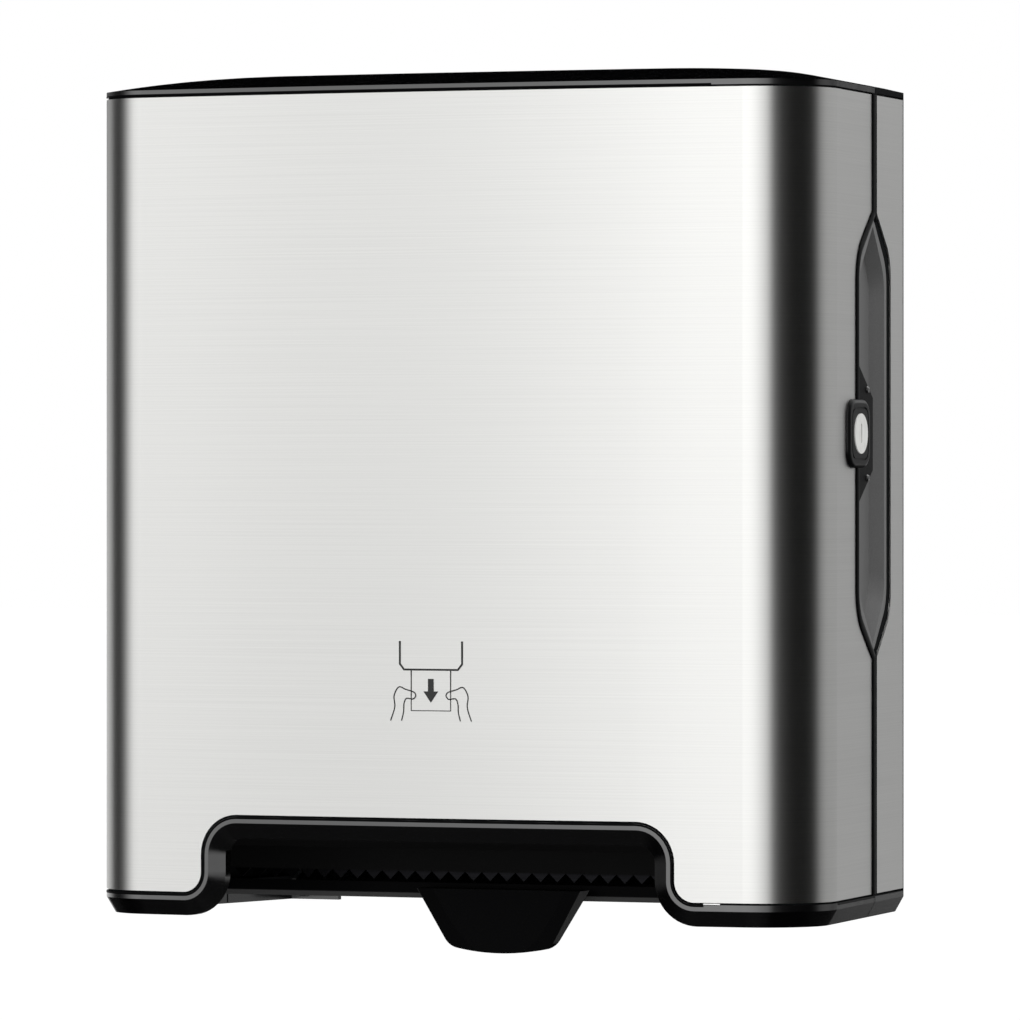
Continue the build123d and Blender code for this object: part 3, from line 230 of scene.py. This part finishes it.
def brushed_stainless(name, dark, light):
    """Stainless sheet brushed level: highlights stretch upright and fine streaks run along the sheet."""
    material, tree = new_material(name)
    # Brush lines are about 0.1 mm apart; they are drawn 0.6 mm apart so that they show
    spacing = 0.6 * MM
    length = 160 * MM
    place = add(tree, "ShaderNodeTexCoord")
    stretch = add(
        tree, "ShaderNodeMapping", {"Vector": place.outputs["Object"]},
        Scale=(1 / length, 1 / length, 1 / spacing),
    )
    streaks = add(
        tree, "ShaderNodeTexNoise", {"Vector": stretch.outputs["Vector"]}, Scale=1.0, Detail=4.0,
    )
    tone = add(tree, "ShaderNodeValToRGB", {"Fac": streaks.outputs["Fac"]})
    for element, position, code in zip(tone.color_ramp.elements, NOISE_SPAN, (dark, light)):
        element.position = position
        element.color = linear(code)
    low, high = NOISE_SPAN
    rough = add(
        tree, "ShaderNodeMapRange", {"Value": streaks.outputs["Fac"]},
        From_Min=low, From_Max=high, To_Min=0.33, To_Max=0.38,
    )
    around = add(tree, "ShaderNodeTangent", direction_type="RADIAL", axis="Z")
    shader = add(
        tree, "ShaderNodeBsdfPrincipled",
        {
            "Base Color": tone.outputs["Color"], "Roughness": rough.outputs["Result"],
            "Tangent": around.outputs[0],
        },
        Metallic=1.0, Anisotropic=0.85, Anisotropic_Rotation=0.25,
    )
    add(tree, "ShaderNodeOutputMaterial", {"Surface": shader.outputs["BSDF"]})
    return material


def share_along(tree, place, direction, begin, end):
    """Share that grows from 0 to 1 between two reaches along a direction, on the left as on the right."""
    parts = add(tree, "ShaderNodeSeparateXYZ", {"Vector": place.outputs["Object"]})
    aside = add(tree, "ShaderNodeMath", {0: parts.outputs["X"]}, operation="ABSOLUTE")
    spot = add(
        tree, "ShaderNodeCombineXYZ",
        {"X": aside.outputs[0], "Y": parts.outputs["Y"], "Z": parts.outputs["Z"]},
    )
    reach = add(tree, "ShaderNodeVectorMath", {0: spot.outputs[0], 1: direction}, operation="DOT_PRODUCT")
    share = add(tree, "ShaderNodeMapRange", {"Value": reach.outputs["Value"]}, From_Min=begin, From_Max=end)
    return share.outputs[0]


def moulded(name, code, rough, grain, relief, fade=None, lacquer=None, **settings):
    """Plastic, rubber, enamel or ink with its grain. It may fade to a second colour that paints a highlight,
    or to clear lacquer.
    """
    material, tree = new_material(name)
    # Mould grain is finer than 0.1 mm; it is drawn 0.35 mm or coarser so that it shows.
    # Polish, enamel and acetal have soft waves 1.5 to 9 mm long instead
    place = add(tree, "ShaderNodeTexCoord")
    speckle = add(
        tree, "ShaderNodeTexNoise", {"Vector": place.outputs["Object"]}, Scale=1 / grain, Detail=2.0,
    )
    tone = add(tree, "ShaderNodeValToRGB", {"Fac": speckle.outputs["Fac"]})
    for element, position, share in zip(tone.color_ramp.elements, NOISE_SPAN, TONE_SPREAD):
        element.position = position
        element.color = [share * part for part in linear(code)[:3]] + [1.0]
    colour = tone.outputs["Color"]
    if fade:
        *way, second = fade
        mix = add(
            tree, "ShaderNodeMix", {0: share_along(tree, place, *way), 6: colour, 7: linear(second)},
            data_type="RGBA",
        )
        colour = mix.outputs[2]
    gloss = add(
        tree, "ShaderNodeMapRange", {"Value": speckle.outputs["Fac"]},
        From_Min=0.25, From_Max=0.75, To_Min=rough * 0.85, To_Max=rough * 1.15,
    )
    bump = add(
        tree, "ShaderNodeBump", {"Height": speckle.outputs["Fac"]}, Strength=0.5, Distance=relief,
    )
    inputs = {
        "Base Color": colour, "Roughness": gloss.outputs["Result"], "Normal": bump.outputs["Normal"],
    }
    if lacquer:
        inputs["Coat Weight"] = share_along(tree, place, *lacquer)
    shader = add(tree, "ShaderNodeBsdfPrincipled", inputs, **settings)
    add(tree, "ShaderNodeOutputMaterial", {"Surface": shader.outputs["BSDF"]})
    return material


def drawn_metal(name, code, rough):
    """Drawn or turned metal: fine lines along X in an even sheen."""
    material, tree = new_material(name)
    # Draw lines are about 0.05 mm apart; they are drawn 0.3 mm apart so that they show
    spacing = 0.3 * MM
    length = 12 * MM
    place = add(tree, "ShaderNodeTexCoord")
    stretch = add(
        tree, "ShaderNodeMapping", {"Vector": place.outputs["Object"]},
        Scale=(1 / length, 1 / spacing, 1 / spacing),
    )
    lines = add(
        tree, "ShaderNodeTexNoise", {"Vector": stretch.outputs["Vector"]}, Scale=1.0, Detail=2.0,
    )
    low, high = NOISE_SPAN
    sheen = add(
        tree, "ShaderNodeMapRange", {"Value": lines.outputs["Fac"]},
        From_Min=low, From_Max=high, To_Min=rough * 0.8, To_Max=rough * 1.2,
    )
    shader = add(
        tree, "ShaderNodeBsdfPrincipled", {"Roughness": sheen.outputs["Result"]},
        Base_Color=linear(code), Metallic=1.0,
    )
    add(tree, "ShaderNodeOutputMaterial", {"Surface": shader.outputs["BSDF"]})
    return material


# Stainless sheet, brushed level: the room is smeared into upright bands of bright and dark
STEEL = brushed_stainless("stainless_brushed_level", "#D2D2D0", "#DADAD8")
# ABS from a polished mould: deep black with clear bright reflections
BLACK = moulded(
    "abs_polished_black", "#050506", rough=0.16, grain=9 * MM, relief=0.008 * MM,
    IOR=1.6, Specular_IOR_Level=0.8,
)
# ABS from a fine spark-eroded mould: black with a soft grey sheen
SATIN = moulded(
    "abs_satin_black", "#101011", rough=0.34, grain=0.5 * MM, relief=0.01 * MM,
    IOR=1.5, Specular_IOR_Level=0.25,
)
# ABS from a coarse spark-eroded mould: black that stays dark at a glance along the surface
GRAINED = dict(rough=0.7, grain=0.5 * MM, relief=0.03 * MM, IOR=1.5, Specular_IOR_Level=0.01)
LINER = moulded("abs_grained_black", "#1A1B1C", **GRAINED)
# The same black with a lacquered foot that shines like the trim beside it
FOOTED = moulded(
    "abs_grained_black_lacquered_foot", "#1A1B1C", lacquer=(RISE, *FOOT_LACQUER),
    Coat_Roughness=0.16, Coat_IOR=1.8, **GRAINED,
)
# ABS from a fine matt mould: the darkest black, with next to no highlight
MATT_GRAIN = dict(rough=0.4, grain=0.6 * MM, relief=0.01 * MM, IOR=1.5, Specular_IOR_Level=0.02)
MATT = moulded("abs_matt_black", "#0A0A0B", **MATT_GRAIN)
# The same mould in charcoal: a dark wall that still shows its curve
CHARCOAL = moulded("abs_matt_charcoal", "#181818", **MATT_GRAIN)
# The same black, with a painted highlight in grey along the lower edge of the lip
HIGHLIT_LIP = moulded("abs_matt_black_rubbed", "#0A0A0B", fade=(RISE, *LIP_HIGHLIGHT, "#585858"), **MATT_GRAIN)
# The same black, with a painted highlight in grey on the slanted edges of the paddle, left and right
HIGHLIT_PADDLE = moulded("abs_matt_black_handled", "#0A0A0B", fade=(FLANK, *EDGE_HIGHLIGHT, "#464646"), **MATT_GRAIN)
# ABS from a smooth satin mould: a mid grey that reads lighter than the black rim round the recess
SCOOP = moulded(
    "abs_satin_mid_grey", "#6C6C6C", rough=0.4, grain=0.6 * MM, relief=0.01 * MM,
    IOR=1.5, Specular_IOR_Level=0.3,
)
# ABS from a deeper satin mould: a dark grey frame that stays behind the drum
SATIN_GRAIN = dict(grain=0.6 * MM, relief=0.02 * MM, IOR=1.53)
GREY = moulded("abs_satin_dark_grey", "#3A3B3D", rough=0.42, **SATIN_GRAIN)
# The same mould in a paler grey: drum and hubs stand out from the frame
DRUM = moulded("abs_satin_grey", "#8A8C8E", rough=0.4, **SATIN_GRAIN)
# The same mould in blue: the hand wheel is found at once
BLUE = moulded("abs_satin_blue", "#1F4E8C", rough=0.36, **SATIN_GRAIN)
# Natural acetal, moulded: waxy white on gears and bushes
ACETAL = moulded("acetal_natural_white", "#E6E3DA", rough=0.36, grain=1.5 * MM, relief=0.01 * MM, IOR=1.48)
# Nitrile rubber, ground: dull black without highlights
RUBBER = moulded("nitrile_rubber_ground", "#161616", rough=0.72, grain=0.35 * MM, relief=0.05 * MM, IOR=1.52)
# Enamel on the turning lock face: clean white with a clear gloss
ENAMEL = moulded("enamel_white", "#F4F4F1", rough=0.2, grain=6 * MM, relief=0.005 * MM, IOR=1.5)
# Bright drawn steel: an even silver sheen
BRIGHT = drawn_metal("steel_bright_drawn", "#C4C4C4", rough=0.3)
# Blackened spring steel: dark with a dull sheen on the teeth
DARK_STEEL = drawn_metal("spring_steel_blackened", "#1B1B1D", rough=0.45)
# Screen printing ink: flat black lines
INK = moulded("screen_ink_black", "#0A0A0A", rough=0.5, grain=0.4 * MM, relief=0.005 * MM, IOR=1.5)

dress(STEEL, "cover_skin", "rear_skin_left", "rear_skin_right")
dress(BLACK, "top_cap", "bottom_trim")
dress(SATIN, "lock_bezel")
dress(LINER, "cover_shell")
dress(FOOTED, "rear_shell")
dress(SCOOP, "grip_scoop")
dress(MATT, "lock_case")
dress(HIGHLIT_PADDLE, "lever_paddle")
dress(CHARCOAL, "drum_guard")
dress(HIGHLIT_LIP, "chute")
dress(GREY, "cheek_left", "cheek_right", "tie_bar", "roll_arm_left", "roll_arm_right", "arm_bracket")
dress(DRUM, "drum_shell", "drum_end_left", "drum_end_right", "roll_hub_left", "roll_hub_right")
dress(BLUE, "hand_wheel")
dress(ACETAL, "clutch_pinion", "sector_gear", "drum_bush_left", "drum_bush_right")
dress(RUBBER, "drum_bands", "pinch_sleeves")
dress(ENAMEL, "lock_barrel")
dress(DARK_STEEL, "tear_blade")
dress(
    BRIGHT, "lock_keeper", "lock_cam", "hinge_pins", "drum_shaft", "shaft_clip", "one_way_clutch",
    "lever_shaft", "pinch_shaft", "pinch_leaves", "arm_pin", "frame_screws",
)


# Geometry node trees


def new_tree(name, **inputs):
    """Geometry tree with named inputs. Returns the tree, its input node and the sockets' identifiers."""
    tree = bpy.data.node_groups.new(name, "GeometryNodeTree")
    tree.interface.new_socket("Geometry", in_out="INPUT", socket_type="NodeSocketGeometry")
    tree.interface.new_socket("Geometry", in_out="OUTPUT", socket_type="NodeSocketGeometry")
    keys = {}
    for label, kind in inputs.items():
        label = label.replace("_", " ")
        keys[label] = tree.interface.new_socket(label, in_out="INPUT", socket_type=kind).identifier
    return tree, add(tree, "NodeGroupInput"), keys


def grow(name, points, edges, tree, keys, values, bends=(), facings=()):
    """Runs a geometry tree on points and edges and returns the result as a plain mesh object."""
    mesh = bpy.data.meshes.new(name)
    mesh.from_pydata(points, edges, [])
    if bends:
        bend = mesh.attributes.new("bend", "FLOAT", "POINT")
        bend.data.foreach_set("value", bends)
        facing = mesh.attributes.new("facing", "FLOAT_VECTOR", "POINT")
        facing.data.foreach_set("vector", [part for way in facings for part in way])
    seed = new_piece(name + "_seed", mesh)
    modifier = seed.modifiers.new("grow", "NODES")
    modifier.node_group = tree
    for label, value in values.items():
        modifier[keys[label]] = value
    result = bpy.data.meshes.new_from_object(seed.evaluated_get(bpy.context.evaluated_depsgraph_get()))
    bpy.data.objects.remove(seed)
    return new_piece(name, result)


def printed_line():
    """Tree that turns chains of edges into flat printed lines on the bowed steel."""
    tree, start, keys = new_tree(
        "printed_line", Line_Width="NodeSocketFloat", Curved="NodeSocketBool",
        Bow_Radius="NodeSocketFloat", Nose="NodeSocketFloat", Ink="NodeSocketMaterial",
    )
    chain = add(tree, "GeometryNodeMeshToCurve", {"Mesh": start.outputs["Geometry"]})
    bent = add(
        tree, "GeometryNodeCurveSplineType", {"Curve": chain.outputs[0]}, spline_type="CATMULL_ROM",
    )
    choice = add(
        tree, "GeometryNodeSwitch",
        {"Switch": start.outputs["Curved"], "False": chain.outputs[0], "True": bent.outputs[0]},
    )
    flat = add(
        tree, "GeometryNodeSetCurveNormal", {"Curve": choice.outputs[0]}, mode="FREE", Normal=(0, -1, 0),
    )
    span = add(tree, "GeometryNodeCurvePrimitiveLine", Start=(0, -0.5, 0), End=(0, 0.5, 0))
    size = add(tree, "ShaderNodeCombineXYZ", {"Y": start.outputs["Line Width"]}, X=1.0, Z=1.0)
    profile = add(
        tree, "GeometryNodeTransform", {"Geometry": span.outputs[0], "Scale": size.outputs[0]},
    )
    ribbon = add(
        tree, "GeometryNodeCurveToMesh", {"Curve": flat.outputs[0], "Profile Curve": profile.outputs[0]},
    )
    # The front falls back by half the square of X over its radius
    place = add(tree, "GeometryNodeInputPosition")
    parts = add(tree, "ShaderNodeSeparateXYZ", {"Vector": place.outputs[0]})
    square = add(
        tree, "ShaderNodeMath", {0: parts.outputs["X"], 1: parts.outputs["X"]}, operation="MULTIPLY",
    )
    bow = add(
        tree, "ShaderNodeMath", {0: square.outputs[0], 1: start.outputs["Bow Radius"]}, operation="DIVIDE",
    )
    fall = add(
        tree, "ShaderNodeMath", {0: bow.outputs[0], 1: 0.5, 2: start.outputs["Nose"]},
        operation="MULTIPLY_ADD",
    )
    spot = add(
        tree, "ShaderNodeCombineXYZ",
        {"X": parts.outputs["X"], "Y": fall.outputs[0], "Z": parts.outputs["Z"]},
    )
    laid = add(
        tree, "GeometryNodeSetPosition", {"Geometry": ribbon.outputs[0], "Position": spot.outputs[0]},
    )
    inked = add(
        tree, "GeometryNodeSetMaterial", {"Geometry": laid.outputs[0], "Material": start.outputs["Ink"]},
    )
    add(tree, "NodeGroupOutput", {"Geometry": inked.outputs[0]})
    return tree, keys


def pan_screw():
    """Tree that sets a small cross-recessed pan screw on each point of the lock plate, the cross as black
    bars of painted shade.
    """
    tree, start, keys = new_tree(
        "pan_screw", Head_Radius="NodeSocketFloat", Head_Height="NodeSocketFloat",
        Metal="NodeSocketMaterial", Recess="NodeSocketMaterial",
    )
    rim, arm, width, middle = (
        add(tree, "ShaderNodeMath", {0: start.outputs[size], 1: share}, operation="MULTIPLY")
        for size, share in (
            ("Head Radius", RIM_SHARE), ("Head Radius", ARM_SHARE),
            ("Head Radius", BAR_SHARE), ("Head Height", CROSS_SHARE),
        )
    )
    head = add(
        tree, "GeometryNodeMeshCone",
        {
            "Radius Bottom": start.outputs["Head Radius"], "Radius Top": rim.outputs[0],
            "Depth": start.outputs["Head Height"],
        },
        Vertices=SCREW_SIDES,
    )
    shiny = add(
        tree, "GeometryNodeSetMaterial",
        {"Geometry": head.outputs["Mesh"], "Material": start.outputs["Metal"]},
    )
    # Black bars for the cross: painted shade of the recess in the head
    cross = add(tree, "GeometryNodeJoinGeometry")
    lift = add(tree, "ShaderNodeCombineXYZ", {"Z": middle.outputs[0]})
    for x, y in ((arm, width), (width, arm)):
        size = add(
            tree, "ShaderNodeCombineXYZ",
            {"X": x.outputs[0], "Y": y.outputs[0], "Z": start.outputs["Head Height"]},
        )
        bar = add(tree, "GeometryNodeMeshCube", {"Size": size.outputs[0]})
        lifted = add(
            tree, "GeometryNodeTransform", {"Geometry": bar.outputs["Mesh"], "Translation": lift.outputs[0]},
        )
        tree.links.new(lifted.outputs[0], cross.inputs[0])
    dark = add(
        tree, "GeometryNodeSetMaterial",
        {"Geometry": cross.outputs[0], "Material": start.outputs["Recess"]},
    )
    screw = add(tree, "GeometryNodeJoinGeometry")
    tree.links.new(shiny.outputs[0], screw.inputs[0])
    tree.links.new(dark.outputs[0], screw.inputs[0])
    spread = add(
        tree, "GeometryNodeInstanceOnPoints",
        {"Points": start.outputs["Geometry"], "Instance": screw.outputs[0]},
        Rotation=(0, math.pi / 2, SIDE_LEAN),
    )
    solid = add(tree, "GeometryNodeRealizeInstances", {"Geometry": spread.outputs[0]})
    add(tree, "NodeGroupOutput", {"Geometry": solid.outputs[0]})
    return tree, keys


def low_bead():
    """Tree that runs a low rounded bead along a chain whose points bring their bend radius and facing."""
    tree, start, keys = new_tree(
        "low_bead", Half_Width="NodeSocketFloat", Height="NodeSocketFloat", Finish="NodeSocketMaterial",
    )
    chain = add(tree, "GeometryNodeMeshToCurve", {"Mesh": start.outputs["Geometry"]})
    bend = add(tree, "GeometryNodeInputNamedAttribute", data_type="FLOAT", Name="bend")
    facing = add(tree, "GeometryNodeInputNamedAttribute", data_type="FLOAT_VECTOR", Name="facing")
    bent = add(
        tree, "GeometryNodeFilletCurve", {"Curve": chain.outputs[0], "Radius": bend.outputs["Attribute"]},
        mode="POLY", Count=BEND_POINTS, Limit_Radius=True,
    )
    turned = add(
        tree, "GeometryNodeSetCurveNormal",
        {"Curve": bent.outputs[0], "Normal": facing.outputs["Attribute"]}, mode="FREE",
    )
    ring = add(tree, "GeometryNodeCurvePrimitiveCircle", Resolution=BEAD_SIDES, Radius=1.0)
    size = add(
        tree, "ShaderNodeCombineXYZ",
        {"X": start.outputs["Height"], "Y": start.outputs["Half Width"]}, Z=1.0,
    )
    profile = add(
        tree, "GeometryNodeTransform", {"Geometry": ring.outputs[0], "Scale": size.outputs[0]},
    )
    bead = add(
        tree, "GeometryNodeCurveToMesh",
        {"Curve": turned.outputs[0], "Profile Curve": profile.outputs[0]}, Fill_Caps=True,
    )
    done = add(
        tree, "GeometryNodeSetMaterial", {"Geometry": bead.outputs[0], "Material": start.outputs["Finish"]},
    )
    add(tree, "NodeGroupOutput", {"Geometry": done.outputs[0]})
    return tree, keys


# Printed sign, edging, painted seam shadow and small fasteners


def chains(*strokes):
    """Points on the sign's plane and the edges that join each stroke."""
    points = []
    edges = []
    for stroke in strokes:
        first = len(points)
        points += [(x * MM, 0, SIGN_Z + z * MM) for x, z in stroke]
        edges += [(k, k + 1) for k in range(first, len(points) - 1)]
    return points, edges


def mirrored(stroke):
    """The same stroke on the other side of the sign."""
    return [(-x, z) for x, z in stroke]


def sign():
    """Pull-down sign: outlet, hanging sheet, two hands and an arrow, printed on the steel."""
    tree, keys = printed_line()
    common = {"Bow Radius": BOW_R, "Nose": INK_Y, "Ink": INK}
    # Strokes in millimetres from the middle of the sign
    outlet = [(-15, 18), (-15, 8), (-13, 5.5), (13, 5.5), (15, 8), (15, 18)]
    sheet = [(-9.5, 5.5), (-9.5, -12.5), (9.5, -12.5), (9.5, 5.5)]
    fingers = [
        (-19.5, -17), (-17.5, -11), (-17.8, -6), (-15.5, -2.2), (-12.2, -3.2), (-8.2, -4.4), (-7.2, -6),
    ]
    thumb = [(-7.2, -6), (-8.6, -7.4), (-11.8, -7.2), (-13, -9.5), (-13.2, -13), (-14.2, -17)]
    arrow = [(-1.4, 1.5), (1.4, 1.5), (1.4, -4), (3.6, -4), (0, -9), (-3.6, -4), (-1.4, -4)]
    pieces = []
    for name, strokes, width, curved in (
        ("sign_outlet", [outlet], BOLD_LINE, False),
        ("sign_sheet", [sheet], FINE_LINE, False),
        ("sign_hands", [fingers, thumb, mirrored(fingers), mirrored(thumb)], FINE_LINE, True),
    ):
        values = dict(common, **{"Line Width": width, "Curved": curved})
        pieces.append(grow(name, *chains(*strokes), tree, keys, values))
    mesh = bpy.data.meshes.new("sign_arrow")
    points = [(x * MM, INK_Y, SIGN_Z + z * MM) for x, z in arrow]
    mesh.from_pydata(points, [], [tuple(range(len(points)))[::-1]])
    mesh.materials.append(INK)
    pieces.append(new_piece("sign_arrow", mesh))
    for piece in pieces:
        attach(piece, "front_cover")


def on_side(ahead, height, out):
    """Point on the right side: in front of the split, at a height, and out from the steel."""
    return Vector((SPLIT_X, SPLIT_Y, height)) + AHEAD * ahead + OUTWARD * out


def on_front(x, height, bend=0.0):
    """Point on the bowed front, with a bend radius and the way the front faces there."""
    facing = Vector((x, -math.sqrt(BOW_R ** 2 - x ** 2), 0)) / BOW_R
    return Vector((0, FRONT + BOW_R, height)) + facing * BOW_R, bend, facing


def on_corner(degrees, height):
    """Point on the left corner by degrees from the left, with no bend and the way it faces there."""
    turn = math.radians(degrees)
    facing = Vector((-math.cos(turn), -math.sin(turn), 0))
    return Vector((CORNER_X, CORNER_Y, height)) + facing * CORNER_R, 0.0, facing


def run_beads(*beads):
    """Runs beads on the cover along their stations, each a point, a bend radius and a facing."""
    tree, keys = low_bead()
    for name, half, height, finish, slot, stations in beads:
        points, bends, facings = zip(*stations)
        edges = [(k, k + 1) for k in range(len(points) - 1)]
        values = {"Half Width": half, "Height": height, "Finish": finish}
        piece = grow(name, points, edges, tree, keys, values, bends, facings)
        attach(piece, "front_cover")


def edging():
    """Stations up the split, round the front of the grip recess and up the split again."""
    low, high = RECESS_TIPS
    path = (
        (EDGING_AHEAD, STEEL_LOW, 0.0),
        (EDGING_AHEAD, low, 0.0),
        (RECESS_AHEAD, low + RECESS_SLOPE, EDGING_BEND),
        (RECESS_AHEAD, high - RECESS_SLOPE, EDGING_BEND),
        (EDGING_AHEAD, high, 0.0),
        (EDGING_AHEAD, STEEL_HIGH, 0.0),
    )
    return [(on_side(ahead, height, 0), bend, OUTWARD) for ahead, height, bend in path]


def round_left(height, *reaches):
    """Stations round the left corner and on along the front."""
    return [on_corner(turn, height) for turn in CORNER_TURNS] + [on_front(x, height) for x in reaches]


def trim_gasket():
    """Stations of the painted shadow between steel and trim, round the left corner and the outlet notch."""
    low = TRIM_SEAM_LOW
    high = TRIM_SEAM_HIGH
    stations = round_left(low, CORNER_X, -TRIM_SHADE_END)
    stations += [on_front(-NOTCH_HALF, low, NOTCH_FOOT_R), on_front(-NOTCH_HALF, high, NOTCH_TOP_R)]
    for step in range(1 - NOTCH_STEPS, NOTCH_STEPS):
        stations.append(on_front(NOTCH_HALF * step / NOTCH_STEPS, high))
    stations += [on_front(NOTCH_HALF, high, NOTCH_TOP_R), on_front(NOTCH_HALF, low, NOTCH_FOOT_R)]
    return stations + [on_front(TRIM_SHADE_END, low)]


def side_gasket():
    """Stations of the painted shadow between steel and trim along the right side, up to the split."""
    return [(on_side(ahead, TRIM_SEAM_LOW, 0), 0.0, OUTWARD) for ahead in (SIDE_SHADE_AHEAD, 0.0)]


def cap_gasket():
    """Stations of the painted shadow between steel and cap, round the left corner and along the front."""
    steps = range(-CAP_STEPS, CAP_STEPS + 1)
    return round_left(CAP_SHADE_Z, *(CAP_SHADE_END * step / CAP_STEPS for step in steps))


def steel_tab():
    """Stations of the short bright steel bead in the seam above the trim."""
    return [on_front(x, DASH_Z) for x in (TRIM_SHADE_END, DASH_END)]


def lock_screws():
    """Two pan screws on the plate beside the lock."""
    tree, keys = pan_screw()
    points = [on_side(SCREW_AHEAD, LOCK_Z + step * SCREW_RISE, -SCREW_SUNK) for step in (-1, 1)]
    values = {"Head Radius": SCREW_R, "Head Height": SCREW_H, "Metal": BRIGHT, "Recess": MATT}
    piece = grow("lock_plate_screws", points, [], tree, keys, values)
    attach(piece, "front_cover")


# Studio and camera


def studio():
    """White room for the camera, even light for paint and plastic, and a room with dark flags to mirror."""
    world = bpy.data.worlds.new("studio")
    bpy.context.scene.world = world
    world.use_nodes = True
    # The room differs for mirrored and scattered light, so only rays that leave a surface may sample it
    world.cycles.sampling_method = "NONE"
    tree = world.node_tree
    tree.nodes.clear()
    place = add(tree, "ShaderNodeTexCoord")
    parts = add(tree, "ShaderNodeSeparateXYZ", {"Vector": place.outputs["Generated"]})
    ahead = add(tree, "ShaderNodeMath", {0: parts.outputs["Y"], 1: -1.0}, operation="MULTIPLY")
    turn = add(tree, "ShaderNodeMath", {0: parts.outputs["X"], 1: ahead.outputs[0]}, operation="ARCTAN2")
    share = add(
        tree, "ShaderNodeMapRange", {"Value": turn.outputs[0]}, From_Min=-math.pi, From_Max=math.pi,
    )
    ramp = add(tree, "ShaderNodeValToRGB", {"Fac": share.outputs["Result"]})
    elements = ramp.color_ramp.elements
    while len(elements) < len(ROOM):
        elements.new(0.5)
    for element, (degrees, level) in zip(elements, ROOM):
        element.position = (degrees + 180) / 360
        element.color = (level, level, level, 1.0)
    tilt = add(tree, "ShaderNodeMath", {0: parts.outputs["Z"]}, operation="ABSOLUTE")
    axes = {axis: parts.outputs[axis] for axis in "XYZ"}
    axes["tilt"] = tilt.outputs[0]
    zones = []
    for depth, *ranges in SHADES:
        # Each range scales the shade that the ranges before it have left
        shade = depth
        for axis, begin, end in ranges:
            zone = add(
                tree, "ShaderNodeMapRange", {"Value": axes[axis], "To Max": shade},
                From_Min=begin, From_Max=end,
            )
            shade = zone.outputs[0]
        zones.append(shade)
    deepest = zones[0]
    for shade in zones[1:]:
        deepest = add(tree, "ShaderNodeMath", {0: deepest, 1: shade}, operation="MAXIMUM").outputs[0]
    level = add(tree, "ShaderNodeMapRange", {"Value": deepest}, To_Min=1.0, To_Max=0.0)
    room = add(
        tree, "ShaderNodeBackground", {"Color": ramp.outputs["Color"], "Strength": level.outputs[0]},
    )
    even = add(tree, "ShaderNodeBackground", Color=(1, 1, 1, 1), Strength=EVEN_LIGHT)
    white = add(tree, "ShaderNodeBackground", Color=(1, 1, 1, 1), Strength=1.0)
    seen = add(tree, "ShaderNodeLightPath")
    lit = add(
        tree, "ShaderNodeMixShader",
        {0: seen.outputs["Is Glossy Ray"], 1: even.outputs[0], 2: room.outputs[0]},
    )
    direct = add(
        tree, "ShaderNodeMath",
        {0: seen.outputs["Is Camera Ray"], 1: seen.outputs["Is Transmission Ray"]}, operation="MAXIMUM",
    )
    mix = add(tree, "ShaderNodeMixShader", {0: direct.outputs[0], 1: lit.outputs[0], 2: white.outputs[0]})
    add(tree, "ShaderNodeOutputWorld", {"Surface": mix.outputs[0]})


def floor():
    """Pale floor, white to the camera and clear from below, that keeps the dispenser's shadow."""
    mesh = bpy.data.meshes.new("floor")
    level = cad_low.z - FLOOR_DROP
    corners = [(-1, -1), (1, -1), (1, 1), (-1, 1)]
    mesh.from_pydata([(x * FLOOR_HALF, y * FLOOR_HALF, level) for x, y in corners], [], [(0, 1, 2, 3)])
    material, tree = new_material("floor_painted_pale")
    seen = add(tree, "ShaderNodeLightPath")
    side = add(tree, "ShaderNodeNewGeometry")
    clear = add(tree, "ShaderNodeBsdfTransparent")
    paint = add(tree, "ShaderNodeBsdfDiffuse", Color=linear("#BDBDBD"))
    glow = add(
        tree, "ShaderNodeEmission", {"Strength": seen.outputs["Is Camera Ray"]}, Color=linear("#D4D4D4"),
    )
    both = add(tree, "ShaderNodeAddShader", {0: paint.outputs[0], 1: glow.outputs[0]})
    face = add(
        tree, "ShaderNodeMixShader",
        {0: side.outputs["Backfacing"], 1: both.outputs[0], 2: clear.outputs[0]},
    )
    add(tree, "ShaderNodeOutputMaterial", {"Surface": face.outputs[0]})
    mesh.materials.append(material)
    plane = new_piece("floor", mesh)
    plane.visible_glossy = False


def soft_light(name, place, size, energy):
    """Broad soft light aimed at the dispenser."""
    light = bpy.data.lights.new(name, "AREA")
    light.shape = "RECTANGLE"
    light.size = size
    light.size_y = size
    light.energy = energy
    lamp = new_piece(name, light)
    lamp.visible_glossy = False
    lamp.location = place
    lamp.rotation_euler = (-lamp.location).to_track_quat("-Z", "Y").to_euler()


def camera():
    """Camera at the photograph's place."""
    data = bpy.data.cameras.new("camera")
    data.lens = LENS
    data.sensor_width = SENSOR
    data.shift_y = SHIFT_Y
    data.clip_end = FAR_CLIP
    view = new_piece("camera", data)
    view.location = (CAMERA_X, CAMERA_Y, BOTTOM + CAMERA_RISE)
    view.rotation_euler = (math.pi / 2, 0, CAMERA_TURN)
    bpy.context.scene.camera = view


sign()
run_beads(
    # The edging is the black rim with painted shade in the gap along the split and round the recess
    ("cover_edging", EDGING_HALF, EDGING_H, MATT, "black_inner", edging()),
    # Thin black beads in the seams: painted shadow of the grooves beside the steel
    ("trim_gasket", TRIM_SHADE_HALF, SEAM_BEAD_H, MATT, "black_inner", trim_gasket()),
    ("side_gasket", TRIM_SHADE_HALF, SEAM_BEAD_H, MATT, "black_inner", side_gasket()),
    ("cap_gasket", CAP_SHADE_HALF, SEAM_BEAD_H, MATT, "black_inner", cap_gasket()),
    ("steel_tab", DASH_HALF, SEAM_BEAD_H, BRIGHT, "plain_steel", steel_tab()),
)
lock_screws()
studio()
floor()
for lamp in LIGHTS:
    soft_light(*lamp)
camera()
bpy.context.scene.view_settings.view_transform = "Standard"
